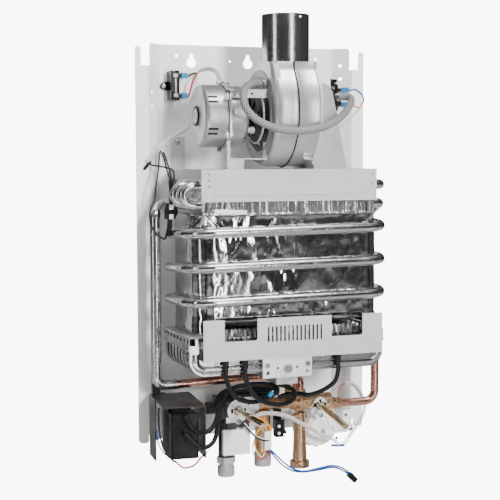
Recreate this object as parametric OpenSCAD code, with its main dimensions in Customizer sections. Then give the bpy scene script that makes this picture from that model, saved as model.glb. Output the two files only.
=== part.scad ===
// Fan-assisted gas water heater with its front cover off, on its wall pan.
// Millimetres. X runs right as seen from the front, Y runs into the wall, Z is up.
// The origin is the centre of the back pan's wall face.

/* [Back pan] */
// Height of the back pan
pan_h = 520; // [516:1:540]
// Width of the back pan
pan_w = 320; // [316:1:326]
// Thickness of the pan's sheet
pan_t = 0.9; // [0.7:0.1:1.2]
// Width of each flat side strip
strip_w = 17; // [15:0.5:19]
// Distance from the middle panel forward to the side strips
strip_fwd = 21; // [18:0.5:23]
// Sideways run of each slope between panel and strip
slope_out = 20.5; // [19:0.5:22]
// Drop from the panel's top edge to the side strips' top edge
strip_drop = 29; // [22:1:34]
// Width of the tab at each strip's outer edge
tab_w = 7.5; // [6:0.5:9]
// Spacing of the three keyholes
keyhole_pitch = 78.5; // [74:0.5:82]
// Drop from the panel's top edge to the keyholes
keyhole_drop = 22.8; // [21:0.2:26]
// Radius of a keyhole's round part
keyhole_r = 6.6; // [6:0.1:7.5]
// Width of a keyhole's slot
keyhole_slot = 5.6; // [5:0.1:6.4]

/* [Fan] */
// Radius of the scroll at its lowest point
scroll_r = 63; // [60:0.5:65]
// Width of the scroll
scroll_w = 60; // [56:1:64]
// Thickness of the scroll's sheet
scroll_t = 1; // [0.8:0.1:1.4]
// Middle of the scroll across the pan
scroll_x = 16; // [14:0.5:18]
// Distance of the fan's axis in front of the wall
fan_fwd = 82; // [80:0.5:86]
// Distance of the flue's axis in front of the wall
flue_fwd = 99; // [97:0.5:101]
// Outside diameter of the flue collar
flue_d = 60; // [56:0.5:60]
// Height of the flue collar
flue_h = 60; // [40:1:80]
// Wall of the flue collar
flue_t = 0.8; // [0.6:0.1:1.2]
// Radius of the impeller
impeller_r = 52; // [46:1:55]
// Number of impeller blades
blade_count = 24; // [16:1:30]

/* [Motor] */
// Radius of the motor's shells
motor_r = 39.5; // [37:0.5:41]
// Length of the motor
motor_l = 58; // [52:1:60]
// Thickness of the motor's shells
motor_t = 1.2; // [1:0.1:1.6]
// Gap between the motor and the scroll
motor_gap = 24; // [20:0.5:26]
// Radius of the motor shaft
motor_shaft_r = 4; // [3:0.5:5]
// Radius of the cooling disc
disc_r = 25; // [20:0.5:28]

/* [Heat exchanger] */
// Middle of the heat exchanger across the pan
hx_x = 9.3; // [7:0.1:11]
// Width of the combustion chamber
chamber_w = 248; // [240:1:252]
// Depth of the combustion chamber
chamber_d = 116; // [110:0.5:118]
// Height of the chamber's straight wall
chamber_h = 134; // [130:1:138]
// Corner radius of the chamber
chamber_r = 24; // [22:0.5:26]
// Thickness of the chamber's sheet
chamber_t = 0.8; // [0.6:0.1:1.2]
// Height of the shoulder between chamber and fins
shoulder_h = 14; // [12:0.5:18]
// Width of the fin block
fin_w = 230; // [224:1:234]
// Height of the fins
fin_h = 50; // [48:0.5:54]
// Thickness of one fin
fin_t = 0.6; // [0.4:0.1:0.8]
// Spacing of the fins
fin_pitch = 3.6; // [3:0.1:5]
// Diameter of the water pipe
pipe_d = 12.7; // [12:0.1:13]
// Number of coil turns round the chamber
coil_turns = 3; // [2:1:3]
// Rise from one coil turn to the next
coil_rise = 42.5; // [38:0.5:44]
// Height of the smoke hood
hood_h = 39.7; // [36:0.1:46]
// Height of fin left open to view below the hood
fin_show = 16.3; // [14:0.1:18]
// Thickness of the hood's sheet
hood_t = 0.8; // [0.6:0.1:1]

/* [Burner] */
// Number of burner bars
bar_count = 8; // [6:1:8]
// Width of the burner bars
bar_w = 258; // [252:1:260]
// Height of the burner bars
bar_h = 46; // [42:0.5:48]
// Thickness of one bar
bar_t = 9; // [8:0.1:10]
// Width of the front plate
plate_w = 238; // [230:1:242]
// Height of the front plate
plate_h = 50.7; // [48:0.1:54]
// Thickness of the front plate's sheet
plate_t = 1; // [0.8:0.1:1.4]
// Number of slots in the front plate
slot_count = 14; // [10:1:16]
// Spacing of those slots
slot_pitch = 5.4; // [5:0.1:5.8]

/* [Water and gas valves] */
// Distance of the valve line in front of the wall
valve_fwd = 91; // [88:0.5:94]
// Height of the valve line above the pan's lower edge
valve_up = 55; // [52:0.5:57]
// Radius of the threaded tails
thread_r = 10.48; // [9.5:0.01:10.6]
// Radius inside the hot outlet's thread
hot_thread_r = 9.3; // [8.5:0.1:9.6]
// Radius of the control shafts
knob_shaft_r = 3.9; // [3.5:0.1:4.2]
// Length of the gas control shaft in front of its plate
gas_shaft_l = 92; // [80:1:100]
// Length of the water control shaft in front of its plate
water_shaft_l = 83; // [70:1:90]
// Downward tilt of the water control
water_tilt = 8; // [4:0.5:10]
// Radial clearance of each control shaft
turn_gap = 0.06; // [0.03:0.01:0.09]

/* [Igniter] */
// Width of the igniter box
igniter_w = 33; // [31:0.5:35]
// Depth of the igniter box
igniter_d = 58; // [54:1:62]
// Height of the igniter box
igniter_h = 55; // [52:0.5:58]

/* [Hidden] */

seat = 0.3;
e = 0.01;

// Heights and edges of the back pan
pan_top = pan_h / 2;
pan_bottom = -pan_h / 2;
strip_top = pan_top - strip_drop;
strip_front = -strip_fwd - pan_t;
panel_front = -pan_t;
slope_x = pan_w / 2 - strip_w;
panel_w = 2 * (slope_x - slope_out);

// Heat exchanger, stacked up from the chamber's lower edge
rack_top = pan_bottom + 154;
chamber_top = rack_top + chamber_h;
fins_bottom = chamber_top + shoulder_h;
fins_top = fins_bottom + fin_h;
hood_bottom = fins_bottom + fin_show;
hood_top = hood_bottom + hood_h;
pipe_r = pipe_d / 2;
pipe_clear = 5;
coil_back = panel_front - pipe_clear - pipe_r;
chamber_back = coil_back - pipe_r - seat;
chamber_front = chamber_back - chamber_d;
coil_front = chamber_front - seat - pipe_r;
coil_half = chamber_w / 2 + seat + pipe_r;
hood_front = chamber_front - 1.4;
hood_back = panel_front - 5;
hood_x0 = hx_x - fin_w / 2 - 2;
hood_x1 = hx_x + fin_w / 2 + 2;

// Fan and motor on one axis
fan_y = -fan_fwd;
fan_z = hood_top + 3.5 + scroll_r;
scroll_x0 = scroll_x - scroll_w / 2;
scroll_x1 = scroll_x + scroll_w / 2;
flue_y = -flue_fwd;
flue_r = flue_d / 2;
neck_top = fan_z + scroll_r + 4;
neck_half = 30;
motor_x1 = scroll_x0 - motor_gap;
motor_x0 = motor_x1 - motor_l;
motor_seam = motor_x1 - motor_l * 0.46;
suction_top = hood_top + 108;
eye_r = 28;

// Burner under the chamber
bar_x = 2;
bars_top = rack_top - 2;
bars_bottom = bars_top - bar_h;
bar_front = coil_front - 4;
bar_pitch = (chamber_d - 5) / bar_count;
plate_x = 6.3;
plate_front = bar_front - 11;
plate_bottom = rack_top - 29;
manifold_z = bars_bottom - 0.5;
manifold_x = -3.4;
manifold_tab_w = 65;
manifold_tab_top = plate_bottom - 4.9;
manifold_tab_bottom = manifold_tab_top - 19.5;

// Valve line
valve_y = -valve_fwd;
valve_z = pan_bottom + valve_up;
knob_plate_y = valve_y - 15;
gas_x = -51;
gas_z = valve_z - 3;
water_x = 61;
water_z = valve_z - 3;
cold_x = -13;
hot_x = 38.5;
union_x = -63;
hot_run_y = -57;
riser_x = 25;
down_gap = 30.3;
down_x = min(hx_x - chamber_w / 2 - down_gap, hx_x - fin_w / 2 - 39.3);
riser_gap = 15;
cold_riser_x = bar_x + bar_w / 2 + riser_gap;

// Unit vector along v
function unit(v) = v / norm(v);

// Points of a fillet of radius r at corner b of the line a, b, c
function fillet(a, b, c, r, n) =
  let (d = unit(b - a), g = unit(c - b), q = acos(d * g), t = r * tan(q / 2), m = unit(g - d))
  let (o = b + m * r / cos(q / 2), u = b - d * t - o, w = b + g * t - o)
  [for (i = [0:n]) o + (sin(q * (1 - i / n)) * u + sin(q * i / n) * w) / sin(q)];

// A line through the points p with every corner rounded to radius r
function route(p, r, n = 5) =
  [p[0], for (i = [1:len(p) - 2]) each fillet(p[i - 1], p[i], p[i + 1], r, n), p[len(p) - 1]];

// One point of a smooth curve between b and c, at share s of the way
function between(a, b, c, d, s) =
  0.5 * (2 * b + (c - a) * s + (2 * a - 5 * b + 4 * c - d) * s * s + (3 * b - a - 3 * c + d) * s * s * s);

// A smooth curve through the points p with n steps from each to the next
function curve(p, n = 3) =
  [for (i = [0:len(p) - 2]) for (j = [0:n - 1])
    between(p[max(i - 1, 0)], p[i], p[i + 1], p[min(i + 2, len(p) - 1)], j / n), p[len(p) - 1]];

// Direction of the line p at its point i
function heading(p, i) =
  unit((i < len(p) - 1 ? unit(p[i + 1] - p[i]) : [0, 0, 0]) + (i > 0 ? unit(p[i] - p[i - 1]) : [0, 0, 0]));

// A direction square to h, and the direction n carried on square to h
function across(h) = unit(cross(h, abs(h.z) < 0.9 ? [0, 0, 1] : [0, 1, 0]));
function carried(n, h) = unit(n - h * (n * h));

// Ring of points round each point of the line p
function rings(p, r, sides) =
  let (normals = [for (i = 0, n = across(heading(p, 0)); i < len(p);
    i = i + 1, n = i < len(p) ? carried(n, heading(p, i)) : n) n])
  [for (i = [0:len(p) - 1]) let (h = heading(p, i), n = normals[i], b = cross(h, n))
    for (j = [0:sides - 1]) p[i] + r * (cos(360 * j / sides) * n + sin(360 * j / sides) * b)];

// Side triangles of a swept ring, turned inward when flip is 1
function wall(count, sides, start, flip) =
  [for (i = [0:count - 2]) for (j = [0:sides - 1]) let (k = (j + 1) % sides, a = start + i * sides, b = a + sides)
    each flip == 1 ? [[a + j, b + k, b + j], [a + j, a + k, b + k]] : [[a + j, b + j, b + k], [a + j, b + k, a + k]]];

// Triangles that close the end of a hollow tube between its outer and inner ring
function rim(sides, outer, inner, flip) =
  [for (j = [0:sides - 1]) let (k = (j + 1) % sides)
    each flip == 1 ? [[outer + j, inner + k, inner + j], [outer + j, outer + k, inner + k]]
      : [[outer + j, inner + j, inner + k], [outer + j, inner + k, outer + k]]];

// A solid tube of radius r along the line p
module tube(p, r, sides = 8) {
  last = (len(p) - 1) * sides;
  ends = [[for (j = [0:sides - 1]) j], [for (j = [sides - 1:-1:0]) last + j]];
  polyhedron(rings(p, r, sides), concat(wall(len(p), sides, 0, 0), ends));
}

// A hollow tube of radius r and bore radius bore along the line p
module hose(p, r, bore, sides = 10) {
  n = len(p) * sides;
  last = n - sides;
  sides_out = concat(wall(len(p), sides, 0, 0), wall(len(p), sides, n, 1));
  polyhedron(concat(rings(p, r, sides), rings(p, bore, sides)),
    concat(sides_out, rim(sides, 0, n, 1), rim(sides, last, n + last, 0)));
}

// A box between two opposite corners
module block(a, b) {
  translate(a) cube(b - a);
}

// Round bars that start at p and run along one axis
module rod_x(p, l, r) {
  translate(p) rotate([0, 90, 0]) cylinder(h = l, r = r);
}
module rod_y(p, l, r) {
  translate(p) rotate([-90, 0, 0]) cylinder(h = l, r = r);
}
module rod_z(p, l, r) {
  translate(p) cylinder(h = l, r = r);
}

// Flat shapes drawn in Y and Z, given length along X
module along_x(x0, x1) {
  translate([x0, 0, 0]) rotate([90, 0, 90]) linear_extrude(x1 - x0) children();
}

// Flat shapes drawn in X and Z, given length along Y
module along_y(y0, y1) {
  translate([0, y1, 0]) rotate([90, 0, 0]) linear_extrude(y1 - y0) children();
}

// Points of a rectangle with round corners, by its two opposite corners
function rounded(a, b, r, n = 6) =
  [for (c = [[b.x - r, b.y - r, 0], [a.x + r, b.y - r, 90], [a.x + r, a.y + r, 180], [b.x - r, a.y + r, 270]])
    for (i = [0:n]) [c[0] + r * cos(c[2] + 90 * i / n), c[1] + r * sin(c[2] + 90 * i / n)]];

// Pan head screw whose head faces the front, seated at p
module screw_front(p, r, h) {
  difference() {
    rod_y([p.x, p.y - h, p.z], h, r);
    block([p.x - r * 0.7, p.y - h - 1, p.z - 0.4], [p.x + r * 0.7, p.y - h * 0.4, p.z + 0.4]);
  }
}

// Back pan: one folded sheet with keyholes, stiffening rings and beads
module pan_section() {
  fold = pan_t * tan(22.5);
  a = panel_w / 2;
  c = pan_w / 2;
  polygon([[-c, -strip_fwd], [-slope_x, -strip_fwd], [-a, 0], [a, 0], [slope_x, -strip_fwd], [c, -strip_fwd],
    [c, strip_front], [slope_x - fold, strip_front], [a - fold, panel_front], [-a + fold, panel_front],
    [-slope_x + fold, strip_front], [-c, strip_front]]);
}
module keyhole(x) {
  z = pan_top - keyhole_drop;
  rod_y([x, -5, z], 10, keyhole_r);
  rod_y([x, -5, z + keyhole_r + 2.8], 10, keyhole_slot / 2);
  block([x - keyhole_slot / 2, -5, z], [x + keyhole_slot / 2, 5, z + keyhole_r + 2.8]);
}
// Takes the corner at x and z off to a radius, sx and sz pointing out of the sheet
module round_off(x, z, r, sx, sz) {
  difference() {
    block([min(x - sx * r, x + sx), -40, min(z - sz * r, z + sz)], [max(x - sx * r, x + sx), -2, max(z - sz * r, z + sz)]);
    rod_y([x - sx * r, -41, z - sz * r], 42, r);
  }
}
module back_pan() {
  ring_x = keyhole_pitch + 20;
  ring_z = pan_top - 14.4;
  color("whitesmoke") difference() {
    union() {
      translate([0, 0, pan_bottom]) linear_extrude(pan_h) pan_section();
      for (s = [-1, 1]) rod_y([s * ring_x, panel_front - 0.8, ring_z], 0.8 + e, 8);
      for (x = [-62, -55]) block([x - 0.6, panel_front - 0.7, pan_bottom + 5], [x + 0.6, panel_front + e, pan_top - 3]);
      for (s = [-1, 1]) rod_x([s * (pan_w / 2 - 7) - 5, strip_front - 1.2, pan_bottom + 2.2], 10, 2.2);
    }
    for (s = [-1, 1]) {
      inner = slope_x - 3;
      outer = pan_w / 2 - tab_w;
      block([min(s * inner, s * outer), -40, strip_top], [max(s * inner, s * outer), -5, pan_top + 1]);
      block([min(s * outer, s * pan_w), -40, pan_top - 5], [max(s * outer, s * pan_w), -5, pan_top + 1]);
      rod_y([s * ring_x, -5, ring_z], 10, 2.2);
      rod_y([s * ring_x, panel_front - 1.2, ring_z], 1.2 - 0.8 + 0.4, 5.6);
    }
    for (i = [-1:1]) keyhole(i * keyhole_pitch);
    rod_y([-25, -5, pan_top - 20], 10, 1.6);
    for (z = [pan_top - 23, pan_top - 41]) rod_y([slope_x - 12, -40, z], 60, 2.2);
    for (z = [84, 65]) block([-slope_x + 6, -40, pan_top - z], [-slope_x + 7.4, 0, pan_top - z + 5]);
    for (s = [-1, 1]) {
      block([min(s * (slope_x - 6), s * (pan_w / 2 - 14)), -40, pan_bottom - 1], [max(s * (slope_x - 6), s * (pan_w / 2 - 14)), -13, pan_bottom + 10]);
      round_off(s * pan_w / 2, pan_bottom, 5, s, -1);
      round_off(s * (pan_w / 2 - 14), pan_bottom, 3, -s, -1);
      round_off(s * pan_w / 2, pan_top - 5, 3, s, 1);
      round_off(s * (pan_w / 2 - tab_w), pan_top - 5, 3, -s, 1);
      round_off(s * (slope_x - 3), pan_top, 4, s, 1);
    }
  }
}

// Flue collar: a polished spigot on the scroll's outlet
module flue_collar() {
  color("silver") difference() {
    rod_z([scroll_x, flue_y, neck_top], flue_h, flue_r);
    rod_z([scroll_x, flue_y, neck_top - 1], flue_h + 2, flue_r - flue_t);
    rod_y([scroll_x + 9, flue_y - flue_r - 1, neck_top + flue_h - 4], 20, 1.2);
    for (x = [-4, 24]) rod_y([scroll_x + x - 10, flue_y - flue_r - 1, neck_top + 3], 30, 1.1);
  }
}

// Outline of the scroll in Y and Z, drawn in by inset: a round back that opens into the outlet at the top
function opening_r(a) = scroll_r + scroll_r * 0.04 * pow(a / 90, 3.4);
function scroll_outline(inset) =
  [[flue_y + neck_half - inset, neck_top], for (a = [192:12:360]) scroll_point(a, scroll_r - inset),
    for (a = [10:10:140]) scroll_point(a, opening_r(a) - inset), [flue_y - neck_half + inset, neck_top]];
function scroll_point(a, r) = [fan_y - r * sin(a), fan_z - r * cos(a)];
module scroll_slice(x0, x1, inset) {
  along_x(x0, x1) polygon(scroll_outline(inset));
}
module flue_hole() {
  rod_z([scroll_x, flue_y, neck_top - 6], 10, flue_r - flue_t);
}

// Nipple of the pressure hose on the scroll's left face
nipple_y = -112;
nipple_z = 205;

// Left half of the scroll, with a rounded outer edge and the motor side's opening
module scroll_left_body(inset) {
  edge = 9;
  hull() {
    scroll_slice(scroll_x0 + inset, scroll_x0 + inset + 0.2, edge);
    scroll_slice(scroll_x0 + inset + edge * 0.3, scroll_x0 + inset + edge * 0.3 + 0.2, edge * 0.3 + inset);
    scroll_slice(scroll_x0 + edge, scroll_x0 + edge + 0.2, inset);
  }
  scroll_slice(scroll_x0 + edge, scroll_x, inset);
}
module scroll_left_shell() {
  color("lightgray") difference() {
    union() {
      scroll_left_body(0);
      scroll_slice(scroll_x - 0.8, scroll_x, -1.3);
      rod_x([scroll_x0 - 9, nipple_y, nipple_z], 10, 2.6);
    }
    difference() {
      scroll_left_body(scroll_t);
      block([scroll_x0, -200, neck_top - scroll_t], [scroll_x + 1, 0, neck_top + 1]);
    }
    scroll_slice(scroll_x - 1, scroll_x + 1, scroll_t + 20);
    flue_hole();
    rod_x([scroll_x0 - 10, nipple_y, nipple_z], 14, 1.4);
    rod_x([scroll_x0 - 1, fan_y, fan_z], 4, motor_shaft_r + 4);
  }
}

// Right half of the scroll, with its rim and the suction eye
module scroll_right_shell() {
  color("lightgray") difference() {
    union() {
      scroll_slice(scroll_x, scroll_x1, 0);
      scroll_slice(scroll_x, scroll_x + 0.8, -1.3);
      scroll_slice(scroll_x1 - 2, scroll_x1, -1.5);
    }
    difference() {
      scroll_slice(scroll_x - 1, scroll_x1 - scroll_t, scroll_t);
      block([scroll_x - 2, -200, neck_top - scroll_t], [scroll_x1, 0, neck_top + 1]);
    }
    flue_hole();
    rod_x([scroll_x1 - 3, fan_y, fan_z], 6, eye_r);
  }
}

// Impeller: back plate, hub, straight blades and front ring
module impeller() {
  x0 = scroll_x0 + 9;
  color("gainsboro") difference() {
    union() {
      rod_x([x0, fan_y, fan_z], 1.2, impeller_r);
      rod_x([x0, fan_y, fan_z], 16, motor_shaft_r + 4);
      difference() {
        rod_x([x0 + 36, fan_y, fan_z], 1, impeller_r);
        rod_x([x0 + 35, fan_y, fan_z], 3, impeller_r - 14);
      }
      for (i = [0:blade_count - 1]) translate([x0, fan_y, fan_z]) rotate([360 * i / blade_count, 0, 0])
        block([0.6, impeller_r - 17, -0.4], [36.4, impeller_r - 1, 0.4]);
    }
    rod_x([x0 - 1, fan_y, fan_z], 30, motor_shaft_r);
  }
}

// Suction box: carries the flue gas from the hood up to the scroll's eye
function box_outline(t) =
  [[scroll_x1, hood_top - 2 * t], [scroll_x1 + 46 - t, hood_top - 2 * t], [scroll_x1 + 31 - t, hood_top + 70],
    [scroll_x1 + 26 - t, suction_top - 11], [scroll_x1 + 20 - t, suction_top - 2.5 - t],
    [scroll_x1 + 14 - t, suction_top - t], [scroll_x1, suction_top - t]];
module suction_box() {
  y0 = hood_front + 16;
  y1 = hood_back - 44;
  t = 1;
  color("gainsboro") difference() {
    union() {
      difference() {
        along_y(y0, y1) polygon(box_outline(0));
        along_y(y0 + t, y1 - t) polygon(box_outline(t));
      }
      block([scroll_x1, y0, hood_top], [scroll_x1 + t, y1, suction_top - 6]);
    }
    rod_x([scroll_x1 - 1, fan_y, fan_z], 3, eye_r);
  }
}

// Motor shells: a vented rear cup with a bearing boss, and a front cup
module motor_cup(x0, x1, r, edge) {
  translate([x0, fan_y, fan_z]) rotate([0, 90, 0]) rotate_extrude($fn = 64)
    polygon([[0, 0], [r - edge, 0], for (a = [15:15:75]) [r - edge + edge * sin(a), edge - edge * cos(a)],
      [r, edge], [r, x1 - x0], [0, x1 - x0]]);
}
module motor_rear_shell() {
  color("silver") difference() {
    union() {
      motor_cup(motor_x0, motor_seam, motor_r, 6);
      rod_x([motor_x0 - 3, fan_y, fan_z], 4, 9);
      rod_x([motor_x0 - 1, fan_y, fan_z], 2, 13);
    }
    motor_cup(motor_x0 + motor_t, motor_seam + 1, motor_r - motor_t, 5);
    rod_x([motor_x0 - 4, fan_y, fan_z], 10, 7);
    for (a = [145, 155, 205, 215]) translate([motor_x0 + 4, fan_y, fan_z]) rotate([a, 0, 0])
      block([0, motor_r - 4, -1.2], [12, motor_r + 2, 1.2]);
  }
}
module motor_front_shell() {
  color("silver") difference() {
    union() {
      translate([2 * motor_x1, 0, 0]) mirror([1, 0, 0]) motor_cup(motor_x1, 2 * motor_x1 - motor_seam, motor_r - 1, 7);
      rod_x([motor_x1 - 1, fan_y, fan_z], 3, 9);
    }
    translate([2 * (motor_x1 - motor_t), 0, 0]) mirror([1, 0, 0])
      motor_cup(motor_x1 - motor_t, 2 * (motor_x1 - motor_t) - motor_seam + 1, motor_r - 1 - motor_t, 6);
    rod_x([motor_x1 - 6, fan_y, fan_z], 10, 7);
  }
}
module motor_stator() {
  color("dimgray") difference() {
    rod_x([motor_seam - 15, fan_y, fan_z], 24, motor_r - 1 - motor_t - seat);
    rod_x([motor_seam - 16, fan_y, fan_z], 26, 20.4);
  }
}
module motor_rotor() {
  color("gray") {
    rod_x([motor_seam - 15, fan_y, fan_z], 24, 20);
    rod_x([motor_x0 - 2, fan_y, fan_z], scroll_x0 + 30 - motor_x0, motor_shaft_r);
  }
}
module motor_bushes() {
  color("goldenrod") for (x = [motor_x0 - 3, motor_x1 - 5]) difference() {
    rod_x([x, fan_y, fan_z], 7, 7);
    rod_x([x - 1, fan_y, fan_z], 9, motor_shaft_r + turn_gap);
  }
}
module cooling_disc() {
  x = motor_x1 + motor_gap / 2;
  color("white") difference() {
    union() {
      rod_x([x, fan_y, fan_z], 1, disc_r);
      rod_x([x - 1.5, fan_y, fan_z], 3.5, motor_shaft_r + 3);
      for (i = [0:7]) translate([x, fan_y, fan_z]) rotate([i * 45, 0, 0]) block([-1.4, 10, -0.5], [0.5, disc_r - 1, 0.5]);
    }
    rod_x([x - 3, fan_y, fan_z], 8, motor_shaft_r);
  }
}

// Motor bracket: a clamp ring with three arms to the scroll and a foot on the hood
module bracket_arm(z, drop) {
  x0 = motor_seam - 2;
  block([x0, -118, z], [scroll_x0, -108, z + 1.5]);
  block([x0 + 3, -118, z - drop], [scroll_x0, -116.5, z + 1.5]);
  block([scroll_x0 - 1.5, -118, z - drop], [scroll_x0, -108, z + 1.5]);
}
module motor_bracket() {
  x0 = motor_seam - 2;
  lower = hood_top + 12;
  color("lightgray") {
    difference() {
      rod_x([x0, fan_y, fan_z], 4, motor_r + 1.6);
      rod_x([x0 - 1, fan_y, fan_z], 6, motor_r + 0.2);
    }
    difference() {
      bracket_arm(fan_z + 31, 9);
      rod_y([-36, -120, fan_z + 27], 6, 1.8);
    }
    block([x0, -112, lower], [x0 + 4, -106, fan_z - motor_r + 7.5]);
    block([x0, -112, lower], [scroll_x0, -102, lower + 1.5]);
    block([scroll_x0 - 1.5, -112, lower], [scroll_x0, -102, lower + 22]);
    block([x0, -112, hood_top], [x0 + 22, -110.5, lower + 1.5]);
    block([x0, -112, hood_top], [x0 + 22, -98, hood_top + 1.5]);
    block([x0, fan_y + 40.2, fan_z - 5], [scroll_x0, fan_y + 41.7, fan_z + 5]);
  }
}
module motor_clamp_screws() {
  x0 = motor_seam - 2;
  color("silver") for (a = [96, 262]) translate([x0 - 5, fan_y, fan_z]) rotate([a, 0, 0]) {
    translate([0, motor_r + 2.9, 0]) rotate([0, 90, 0]) cylinder(h = 5, r = 2.6, $fn = 6);
    translate([0, motor_r + 2.9, 0]) rotate([0, 90, 0]) cylinder(h = 5, r = 1.3);
  }
}

// Run capacitor: a black block with an ear, screwed to the pan
cap_x = 48 - pan_w / 2;
cap_z = 206;
module run_capacitor() {
  color([0.12, 0.12, 0.13]) difference() {
    union() {
      block([cap_x, -20, cap_z - 19], [cap_x + 11, panel_front, cap_z + 19]);
      hull() {
        rod_y([cap_x - 5, -4, cap_z], 4 + panel_front, 5);
        rod_y([cap_x + 2, -4, cap_z], 4 + panel_front, 6);
      }
    }
    rod_y([cap_x - 5, -10, cap_z], 12, 2);
  }
  color("silver") for (z = [-13, 13]) block([cap_x + 11, -16, cap_z + z - 3], [cap_x + 14.8, -15.2, cap_z + z + 3]);
}

// Air pressure switch: a round diaphragm box with two spades and a nipple
switch_x = 90;
switch_y = -70;
switch_z = 190.5;
switch_turn = 23;
switch_nipple = -20.5;
module at_switch() {
  translate([switch_x, switch_y, switch_z]) rotate([0, 0, -switch_turn]) children();
}
function off_switch(x, y) = [switch_x + x * cos(switch_turn) + y * sin(switch_turn), switch_y - x * sin(switch_turn) + y * cos(switch_turn), switch_z];
module pressure_switch() {
  color([0.1, 0.1, 0.11]) at_switch() difference() {
    union() {
      rod_x([0, 0, 0], 3, 25);
      rotate([0, 90, 0]) translate([0, 0, 2.9]) cylinder(h = 3.2, r1 = 23.5, r2 = 21.5);
      rotate([0, 90, 0]) translate([0, 0, 6]) cylinder(h = 5, r1 = 15.4, r2 = 12);
      rod_x([10, 0, 0], 4, 9.5);
      for (z = [-9.5, 9.5]) block([9, -4, z - 3.2], [12.5, 4, z + 3.2]);
      rod_x([2, switch_nipple, 0], 12, 2.5);
      for (z = [-24.5, 19.5]) block([1, -7, z], [9, -2, z + 4]);
    }
    rod_x([4, switch_nipple, 0], 20, 1.4);
  }
  color("silver") {
    at_switch() {
      for (z = [-9.5, 9.5]) block([12, -0.4, z - 3], [15, 0.4, z + 3]);
      block([-1.5, -8, -8], [0.2, 30, 8]);
    }
    block([switch_x + 9.2, switch_y + 27.5, switch_z - 8], [switch_x + 10.8, panel_front, switch_z + 8]);
    block([switch_x + 9.2, panel_front - 1.5, switch_z - 8], [switch_x + 25, panel_front, switch_z + 8]);
  }
}
module terminal_sleeves() {
  color("deepskyblue") {
    for (z = [-13, 13]) block([cap_x + 15, -18, cap_z + z - 3.6], [cap_x + 23, -13.2, cap_z + z + 3.6]);
    at_switch() for (z = [-9.5, 9.5]) block([15.2, -2.4, z - 3.5], [24.5, 2.4, z + 3.5]);
  }
}
module capacitor_leads() {
  color("firebrick") tube(curve([[cap_x + 23.3, -15.6, cap_z + 13], [cap_x + 25.3, -15.7, cap_z + 13.2], [cap_x + 30, -20, 222], [cap_x + 38, -24, 224]]), 0.8, 6);
  color("black") tube(curve([[cap_x + 23.3, -15.6, cap_z - 13], [cap_x + 25.3, -15.7, cap_z - 12.8], [cap_x + 28, -20, 208], [cap_x + 38, -23, 219]]), 0.8, 6);
  color("white") tube(curve([[cap_x + 37.5, -24, 221.5], [-68, -32, 226], [-64, -50, 224], [-62, -66, 216], [-62, -76, fan_z + motor_r + 2.4]]), 3.2, 8);
}

// Pressure hose from the scroll's nipple round the front to the switch
hose_points = [[scroll_x0 - 0.5, nipple_y, nipple_z], [scroll_x0 - 9, nipple_y, nipple_z], [-29, -115, 205], [-40, -124, 203], [-52, -138, 197], [-58, -148, 186],
  [-56, -155, 171], [-42, -158, 157], [-16, -160, 147], [10, -160, 145], [40, -158, 149], [62, -150, 157], [80, -137, 167],
  [94, -122, 177], [102, -110, 184], [104, -102, 189], off_switch(19, switch_nipple - 0.6), off_switch(14, switch_nipple), off_switch(6.6, switch_nipple)];
module pressure_hose() {
  color("lightgray") hose(curve(hose_points, 2), 4.7, 2.8, 10);
}
module hose_clips() {
  color("silver") {
    translate([scroll_x0 - 6.5, nipple_y, nipple_z]) hose_clip();
    at_switch() translate([8.5, switch_nipple, 0]) hose_clip();
  }
}
module hose_clip() {
  difference() {
    union() {
      rod_x([0, 0, 0], 3, 6);
      block([0, -9, -2], [3, -5, 2]);
    }
    rod_x([-1, 0, 0], 5, 5.2);
  }
}

// Smoke hood: an open-bottomed box over the fins, with a pressed bead on its front
module smoke_hood() {
  z0 = hood_bottom;
  color("whitesmoke") {
    difference() {
      block([hood_x0, hood_front, z0], [hood_x1, hood_back, hood_top]);
      block([hood_x0 + hood_t, hood_front + hood_t, z0 - 1], [hood_x1 - hood_t, hood_back - hood_t, hood_top - hood_t]);
      block([scroll_x1 + 3, hood_front + 20, hood_top - 2], [scroll_x1 + 43, hood_back - 48, hood_top + 1]);
      for (x = [hood_x0 - 1, hood_x1 - hood_t - 0.2]) block([x, hood_front + 1.2, z0 - 1], [x + 2, hood_back - 1.2, z0 + 27]);
    }
    block([hood_x0 + 16, hood_front - 0.8, z0 + 8], [hood_x1 - 14, hood_front + e, z0 + 9.2]);
    for (x = [hood_x0 + 16, hood_x1 - 15.2]) block([x, hood_front - 0.8, z0 + 8], [x + 1.2, hood_front + e, z0 + 13]);
    for (x = [hood_x0 + 6, hood_x1 - 4]) for (z = [8, hood_h / 2, hood_h - 8]) rod_y([x, hood_front - 0.7, z0 + z], 0.8, 1.6);
    difference() {
      union() {
        block([hood_x0, hood_back - 1, hood_top - hood_t], [hood_x0 + 19, panel_front - 0.2, hood_top]);
        block([hood_x0, panel_front - 1.2, hood_top - hood_t], [hood_x0 + 19, panel_front - 0.2, hood_top + 42]);
      }
      rod_y([hood_x0 + 7, panel_front - 4, hood_top + 34], 6, 2);
    }
  }
}

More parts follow.
